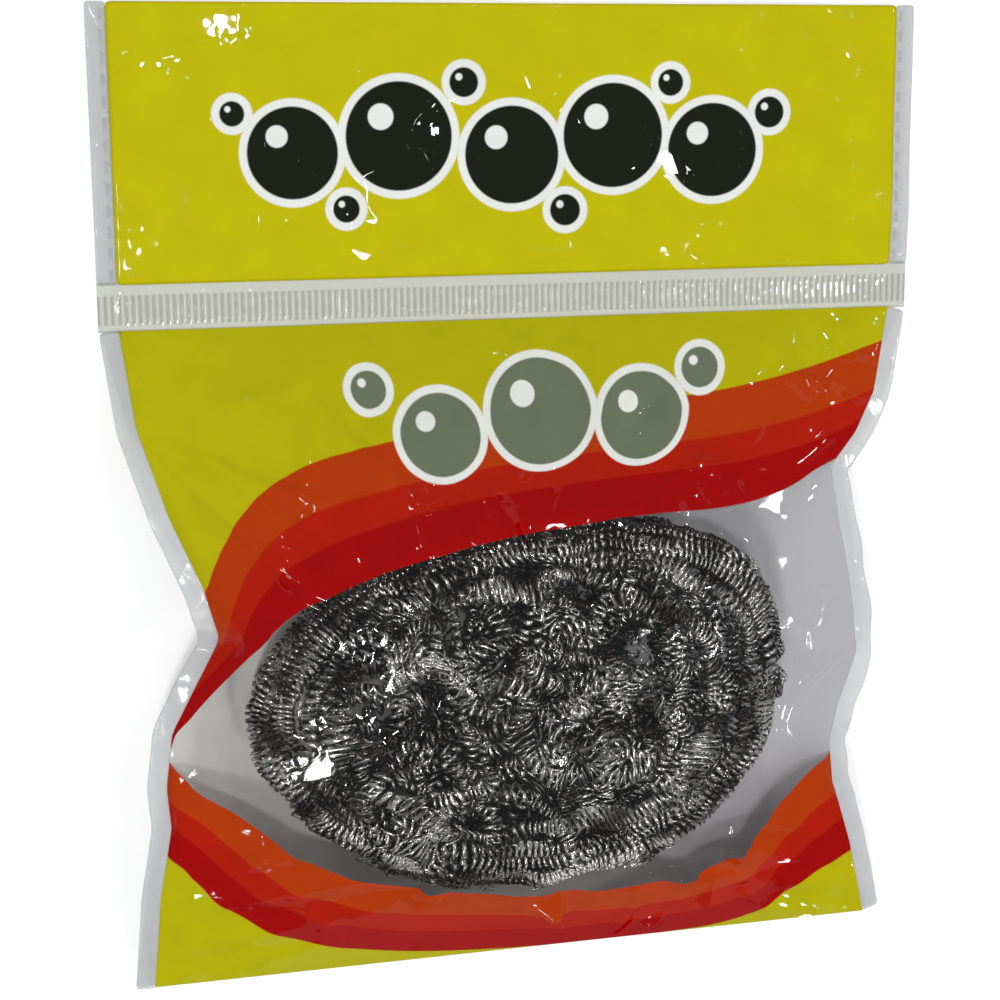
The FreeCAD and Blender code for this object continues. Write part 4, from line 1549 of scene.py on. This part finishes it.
@dataclass
class Scourer:
    """Flattened oval ball wound from curled steel strand.

    Attributes:
        half: half sizes of the ball.
        middle: its middle in the row frame.
        lean: its turn in the bag, in degrees.
        wire: width and thickness of the flattened wire.
        shift, fine_shift: how far the tangle moves the wire, over a curl's length and within it.
        steps: sides of one curl.
        stock_turns: curls of the straight stock that strands are cut from.
        seed: start of the random numbers and of the noise.
    """

    finishes: Finishes
    half: Vector = field(default_factory=lambda: Vector((46.3, 32.0, 12.5)) * MM)
    middle: Vector = field(default_factory=lambda: Vector((-4.2, -32.2, 13.4)) * MM)
    lean: float = SCOURER_LEAN
    wire: tuple[float, float] = (0.5 * MM, 0.14 * MM)
    shift: float = 2.5 * MM
    fine_shift: float = 0.7 * MM
    steps: int = 9
    stock_turns: int = 8
    seed: int = 7

    def stock(self, curl: float, pitch: float) -> bpy.types.Mesh:
        """Straight stock of curled flat wire along X.

        Args:
            curl: radius of the curls.
            pitch: spacing of the curls.

        Returns:
            Its mesh.
        """
        bm = bmesh.new()
        wide, thick = self.wire
        section = Matrix.Translation((0, curl, 0)) @ Matrix.Diagonal((wide, thick, 1, 1))
        bmesh.ops.create_grid(bm, x_segments=1, y_segments=1, size=0.5, matrix=section)
        bmesh.ops.delete(bm, geom=bm.faces[:], context="FACES_ONLY")
        bmesh.ops.spin(
            bm,
            geom=bm.verts[:] + bm.edges[:],
            cent=(0, 0, 0),
            axis=(1, 0, 0),
            dvec=(pitch / self.steps, 0, 0),
            angle=2 * math.pi * self.stock_turns,
            steps=self.steps * self.stock_turns,
        )
        bmesh.ops.recalc_face_normals(bm, faces=bm.faces[:])
        mesh = bpy.data.meshes.new("stock")
        bm.to_mesh(mesh)
        bm.free()
        return mesh

    def bent(self, strand: Strand) -> bpy.types.Mesh:
        """A strand's curls along its route.

        Args:
            strand: the strand.

        Returns:
            Its mesh in the scourer's frame.
        """
        line = bpy.data.curves.new("route", "CURVE")
        line.dimensions = "3D"
        line.twist_mode = "MINIMUM"
        line.use_stretch = True
        line.use_deform_bounds = True
        spline = line.splines.new("NURBS")
        spline.points.add(len(strand.route) - 1)
        for point, place in zip(spline.points, strand.route):
            point.co = (*place, 1.0)
        spline.order_u = 4
        spline.use_cyclic_u = strand.closed
        spline.use_endpoint_u = not strand.closed
        spline.resolution_u = 6
        route = bpy.data.objects.new("route", line)
        curls = bpy.data.objects.new("curls", self.stock(strand.curl, strand.pitch))
        for item in (route, curls):
            bpy.context.scene.collection.objects.link(item)
        length = spline.calc_length()
        row = curls.modifiers.new("Row", "ARRAY")
        row.count = max(1, round(length / (strand.pitch * self.stock_turns)))
        row.use_relative_offset = False
        row.use_constant_offset = True
        row.constant_offset_displace = (strand.pitch * self.stock_turns, 0, 0)
        row.use_merge_vertices = True
        row.merge_threshold = 0.02 * MM
        bend = curls.modifiers.new("Bend", "CURVE")
        bend.object = route
        bend.deform_axis = "POS_X"
        mesh = bake_modifiers(curls)
        bpy.data.objects.remove(curls)
        bpy.data.objects.remove(route)
        return mesh

    def ring(self, rng: random.Random, share: float, level: float, strays: float) -> tuple[Vector, ...]:
        """Oval turn round the ball.

        Args:
            rng: source of its irregularity.
            share: its size as a share of the ball's.
            level: its height as a share of the ball's half height.
            strays: how far it wanders.

        Returns:
            Points of its route.
        """
        count = 22
        start = rng.random() * math.tau
        places = []
        for index in range(count):
            angle = start + math.tau * index / count
            wander = Vector([rng.uniform(-strays, strays) for _ in range(3)])
            oval = Vector((math.cos(angle), math.sin(angle))) * (share * girth(math.cos(angle), math.sin(angle)))
            places.append(Vector((oval.x * self.half.x, oval.y * self.half.y, level * self.half.z)) + wander)
        return tuple(places)

    def over(self, rng: random.Random, heading: float, aside: float, share: float, strays: float) -> tuple[Vector, ...]:
        """Turn that goes over the top of the ball and back under it.

        Args:
            rng: source of its irregularity.
            heading: direction in which it crosses the ball, in radians.
            aside: how far from the middle it crosses, as a share.
            share: its size as a share of the ball's.
            strays: how far it wanders.

        Returns:
            Points of its route.
        """
        count = 18
        along = Vector((math.cos(heading), math.sin(heading), 0))
        across = Vector((-math.sin(heading), math.cos(heading), 0))
        reach = math.sqrt(max(0.1, 1 - aside * aside))
        places = []
        for index in range(count):
            angle = math.tau * index / count
            unit = along * (math.cos(angle) * reach) + across * (aside + 0.12 * math.sin(2 * angle))
            unit += Vector((0, 0, math.sin(angle) * reach))
            wander = Vector([rng.uniform(-strays, strays) for _ in range(3)])
            reach_out = girth(unit.x, unit.y)
            sized = Vector((unit.x * reach_out * self.half.x, unit.y * reach_out * self.half.y, unit.z * self.half.z))
            places.append(sized * share + wander)
        return tuple(places)

    def rosette(self, rng: random.Random, middle: tuple[float, float], side: int) -> tuple[Vector, ...]:
        """Small loose turn that lies on the top or bottom of the ball.

        Args:
            rng: source of its irregularity.
            middle: its middle, as shares of the ball's half sizes.
            side: 1 for the top, -1 for the bottom.

        Returns:
            Points of its route.
        """
        count, radius = 11, rng.uniform(3.2, 7.6) * MM
        places = []
        for index in range(count):
            angle = math.tau * index / count
            reach = radius * rng.uniform(0.62, 1.3)
            x = middle[0] * self.half.x + reach * math.cos(angle)
            y = middle[1] * self.half.y + reach * math.sin(angle)
            share = min(0.95, math.hypot(x / self.half.x, y / self.half.y))
            deep = 1.4 * MM + rng.uniform(0.0, 2.2) * MM
            places.append(Vector((x, y, side * (self.half.z * (1 - share**2) ** 0.25 - deep))))
        return tuple(places)

    def stray(self, rng: random.Random, turn: float, deep: float) -> tuple[Vector, ...]:
        """Short stretch that wanders over the top of the ball.

        Args:
            rng: source of its place.
            turn: how far it may turn, in radians.
            deep: how deep it may lie in the ball.

        Returns:
            Points of its route.
        """
        heading, long = rng.uniform(0, math.tau), rng.uniform(16, 40) * MM
        x, y = rng.uniform(-0.72, 0.72) * self.half.x, rng.uniform(-0.7, 0.7) * self.half.y
        bend = rng.uniform(-turn, turn)
        places = []
        for index in range(7):
            share = min(0.93, math.hypot(x / self.half.x, y / self.half.y))
            sunk = 1.0 * MM + deep * rng.random()
            places.append(Vector((x, y, self.half.z * (1 - share**2) ** 0.25 - sunk)))
            x, y = x + long / 6 * math.cos(heading), y + long / 6 * math.sin(heading)
            heading += bend / 6 + rng.uniform(-0.4, 0.4)
        return tuple(places)

    def strands(self, rng: random.Random) -> dict[str, list[Strand]]:
        """Every strand of the ball, by the piece it belongs to.

        Args:
            rng: source of their irregularity.

        Returns:
            Piece name to its strands.
        """
        rim, upper, lower, loose, crossing = [], [], [], [], []

        def cut(route: tuple[Vector, ...]) -> Strand:
            """Strand of curled wire along a closed route."""
            return Strand(route, True, rng.uniform(1.0, 1.4) * MM, rng.uniform(1.0, 1.35) * MM)

        def end(turn: float, deep: float, curls: tuple[float, float], pitches: tuple[float, float]) -> Strand:
            """Short stretch of strand on top of the ball."""
            route = self.stray(rng, turn, deep)
            return Strand(route, False, rng.uniform(*curls) * MM, rng.uniform(*pitches) * MM)

        for level in (-0.56, -0.36, -0.18, 0.0, 0.18, 0.36, 0.54):
            rim.append(cut(self.ring(rng, 0.97 - 0.16 * level * level, level, 0.5 * MM)))
        for share, strays in ((0.9, 0.8), (0.83, 1.2), (0.75, 1.9), (0.66, 2.4)):
            level = (1 - share**2) ** 0.25 - 0.11
            upper.append(cut(self.ring(rng, share, level, strays * MM)))
            lower.append(cut(self.ring(rng, share, -level, 0.8 * MM)))
        for x in (-0.5, -0.3, -0.1, 0.1, 0.3, 0.48, 0.64):
            for y in (-0.48, -0.16, 0.14, 0.44):
                spot = (x + rng.uniform(-0.11, 0.11), y + rng.uniform(-0.15, 0.15))
                loose.append(cut(self.rosette(rng, spot, 1)))
                if abs(y) > 0.4:
                    lower.append(cut(self.rosette(rng, spot, -1)))
        for _ in range(34):
            upper.append(end(3.2, 3.0 * MM, (1.0, 1.5), (1.0, 1.5)))
        for _ in range(22):
            loose.append(end(1.6, 1.0 * MM, (0.5, 1.1), (1.5, 3.0)))
        for share, level in ((0.72, 0.25), (0.55, 0.4), (0.38, 0.45), (0.22, 0.45)):
            crossing.append(cut(self.ring(rng, share, level, 1.6 * MM)))
        for turn in range(12):
            heading = math.pi * turn / 12 + rng.uniform(-0.15, 0.15)
            crossing.append(cut(self.over(rng, heading, rng.uniform(-0.5, 0.5), rng.uniform(0.66, 0.78), 1.6 * MM)))
        return {
            "rim_strands": rim,
            "upper_strands": upper,
            "lower_strands": lower,
            "loose_strands": loose,
            "crossing_strands": crossing,
        }

    def tangle(self, place: Vector) -> Vector:
        """Uneven shift of a point of wire.

        Args:
            place: the point in the scourer's frame.

        Returns:
            The shifted point, kept inside the ball.
        """
        far = (place.x / self.half.x) ** 2 + (place.y / self.half.y) ** 2
        loose = max(0.45, 1.3 - 0.85 * far + 0.5 * noise.noise(place * 45))
        wide = noise.noise_vector(place * 150) * (self.shift * loose)
        fine = noise.noise_vector(place * 430) * (self.fine_shift * loose)
        moved = place + wide + fine
        x, y = moved.x / self.half.x, moved.y / self.half.y
        out = math.sqrt((x * x + y * y) / girth(x, y) ** 2 + (moved.z / self.half.z) ** 4)
        out /= 0.985 + 0.05 * noise.noise(place * 210)
        return moved if out <= 1 else Vector((moved.x / out, moved.y / out, moved.z / out**0.5))

    def build(self) -> list[bpy.types.Object]:
        """Makes the strands and ties them to the scourer.

        Returns:
            The pieces.
        """
        rng = random.Random(self.seed)
        noise.seed_set(self.seed)
        place = Matrix.Translation(self.middle) @ Matrix.Rotation(math.radians(self.lean), 4, "Z")
        pieces = []
        for name, strands in self.strands(rng).items():
            bm = bmesh.new()
            for strand in strands:
                mesh = self.bent(strand)
                bm.from_mesh(mesh)
                bpy.data.meshes.remove(mesh)
            for vert in bm.verts:
                vert.co = self.tangle(vert.co)
            bm.transform(place)
            log.info("%s: %d strands, %d faces", name, len(strands), len(bm.faces))
            pieces.append(to_object(name, bm, self.finishes.steel))
        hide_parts("rim_curls_left", "rim_curls_right", "rim_curls_upper", "rim_curls_lower")
        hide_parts("inner_winding")
        for piece in pieces:
            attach(piece, "scourer")
        return pieces


@dataclass
class Studio:
    """Floor, lamps, world and camera.

    Attributes:
        target: the point that the camera looks at.
        roll: the camera's turn about its own axis, in radians.
        lens: focal length on a 36 mm wide sensor.
        sky: strength of the world's light.
        floor_glow: what the floor adds where it is seen, so that it is white.
    """

    target: Vector = field(default_factory=lambda: Vector((-3.8, -0.2, 0.0)) * MM)
    roll: float = -0.009
    lens: float = 72.0
    sky: float = 0.36
    floor_glow: float = 0.16

    def camera(self) -> None:
        """Places the camera as the photograph was taken."""
        data = bpy.data.cameras.new("camera")
        data.lens = self.lens
        data.sensor_width = 36.0
        data.clip_start = 0.01
        back = (EYE - self.target).normalized()
        side = Vector((0, 1, 0)).cross(back).normalized()
        top = back.cross(side)
        turned = side * math.cos(self.roll) + top * math.sin(self.roll)
        axes = Matrix((turned, back.cross(turned), back)).transposed()
        made = bpy.data.objects.new("camera", data)
        made.matrix_world = Matrix.Translation(EYE) @ axes.to_4x4()
        bpy.context.scene.collection.objects.link(made)
        bpy.context.scene.camera = made

    def lamp(self, name: str, lamp: Lamp) -> None:
        """Area lamp that faces the bag.

        Args:
            name: its name.
            lamp: its place, size and power.
        """
        data = bpy.data.lights.new(name, "AREA")
        data.shape = "SQUARE"
        data.size = lamp.size
        data.energy = lamp.watts
        made = bpy.data.objects.new(name, data)
        turn = (Vector(lamp.place) - Vector((0, -0.02, 0))).to_track_quat("Z", "Y")
        made.matrix_world = Matrix.Translation(lamp.place) @ turn.to_matrix().to_4x4()
        bpy.context.scene.collection.objects.link(made)

    def floor(self) -> None:
        """Plain white floor that keeps the bag's shadow."""
        bm = bmesh.new()
        bmesh.ops.create_grid(bm, x_segments=1, y_segments=1, size=2.0)
        material = bpy.data.materials.new("floor")
        material.use_nodes = True
        board = NodeBoard(material.node_tree)
        shader = material.node_tree.nodes["Principled BSDF"]
        shader.inputs["Base Color"].default_value = (0.9, 0.9, 0.9, 1)
        shader.inputs["Roughness"].default_value = 0.7
        shader.inputs["Emission Color"].default_value = (1, 1, 1, 1)
        rays = board.add("ShaderNodeLightPath").outputs
        mirrored = board.math("MAXIMUM", rays["Is Glossy Ray"], rays["Is Transmission Ray"])
        seen = board.math("MAXIMUM", rays["Is Camera Ray"], mirrored)
        board.feed(shader.inputs["Emission Strength"], board.math("MULTIPLY", seen, self.floor_glow))
        to_object("floor", bm, material)

    def world(self) -> None:
        """Soft even sky."""
        world = bpy.data.worlds.new("world")
        world.use_nodes = True
        light = world.node_tree.nodes["Background"]
        light.inputs["Color"].default_value = (0.95, 0.97, 1.0, 1)
        light.inputs["Strength"].default_value = self.sky
        bpy.context.scene.world = world

    def build(self) -> None:
        """Sets the whole studio."""
        self.camera()
        self.floor()
        self.world()
        for name, lamp in LAMPS.items():
            self.lamp(name, lamp)
        bpy.context.scene.view_settings.view_transform = "Standard"


def main() -> None:
    """Builds the bag, the scourer and the studio."""
    logging.basicConfig(level=logging.INFO, format="%(message)s")
    finishes = Finishes()
    Studio().build()
    for assembly in (PouchFilms(finishes), Header(finishes), CrimpedBand(finishes), Scourer(finishes)):
        for piece in assembly.build():
            log.info("made %s", piece.name)


if __name__ == "__main__":
    main()
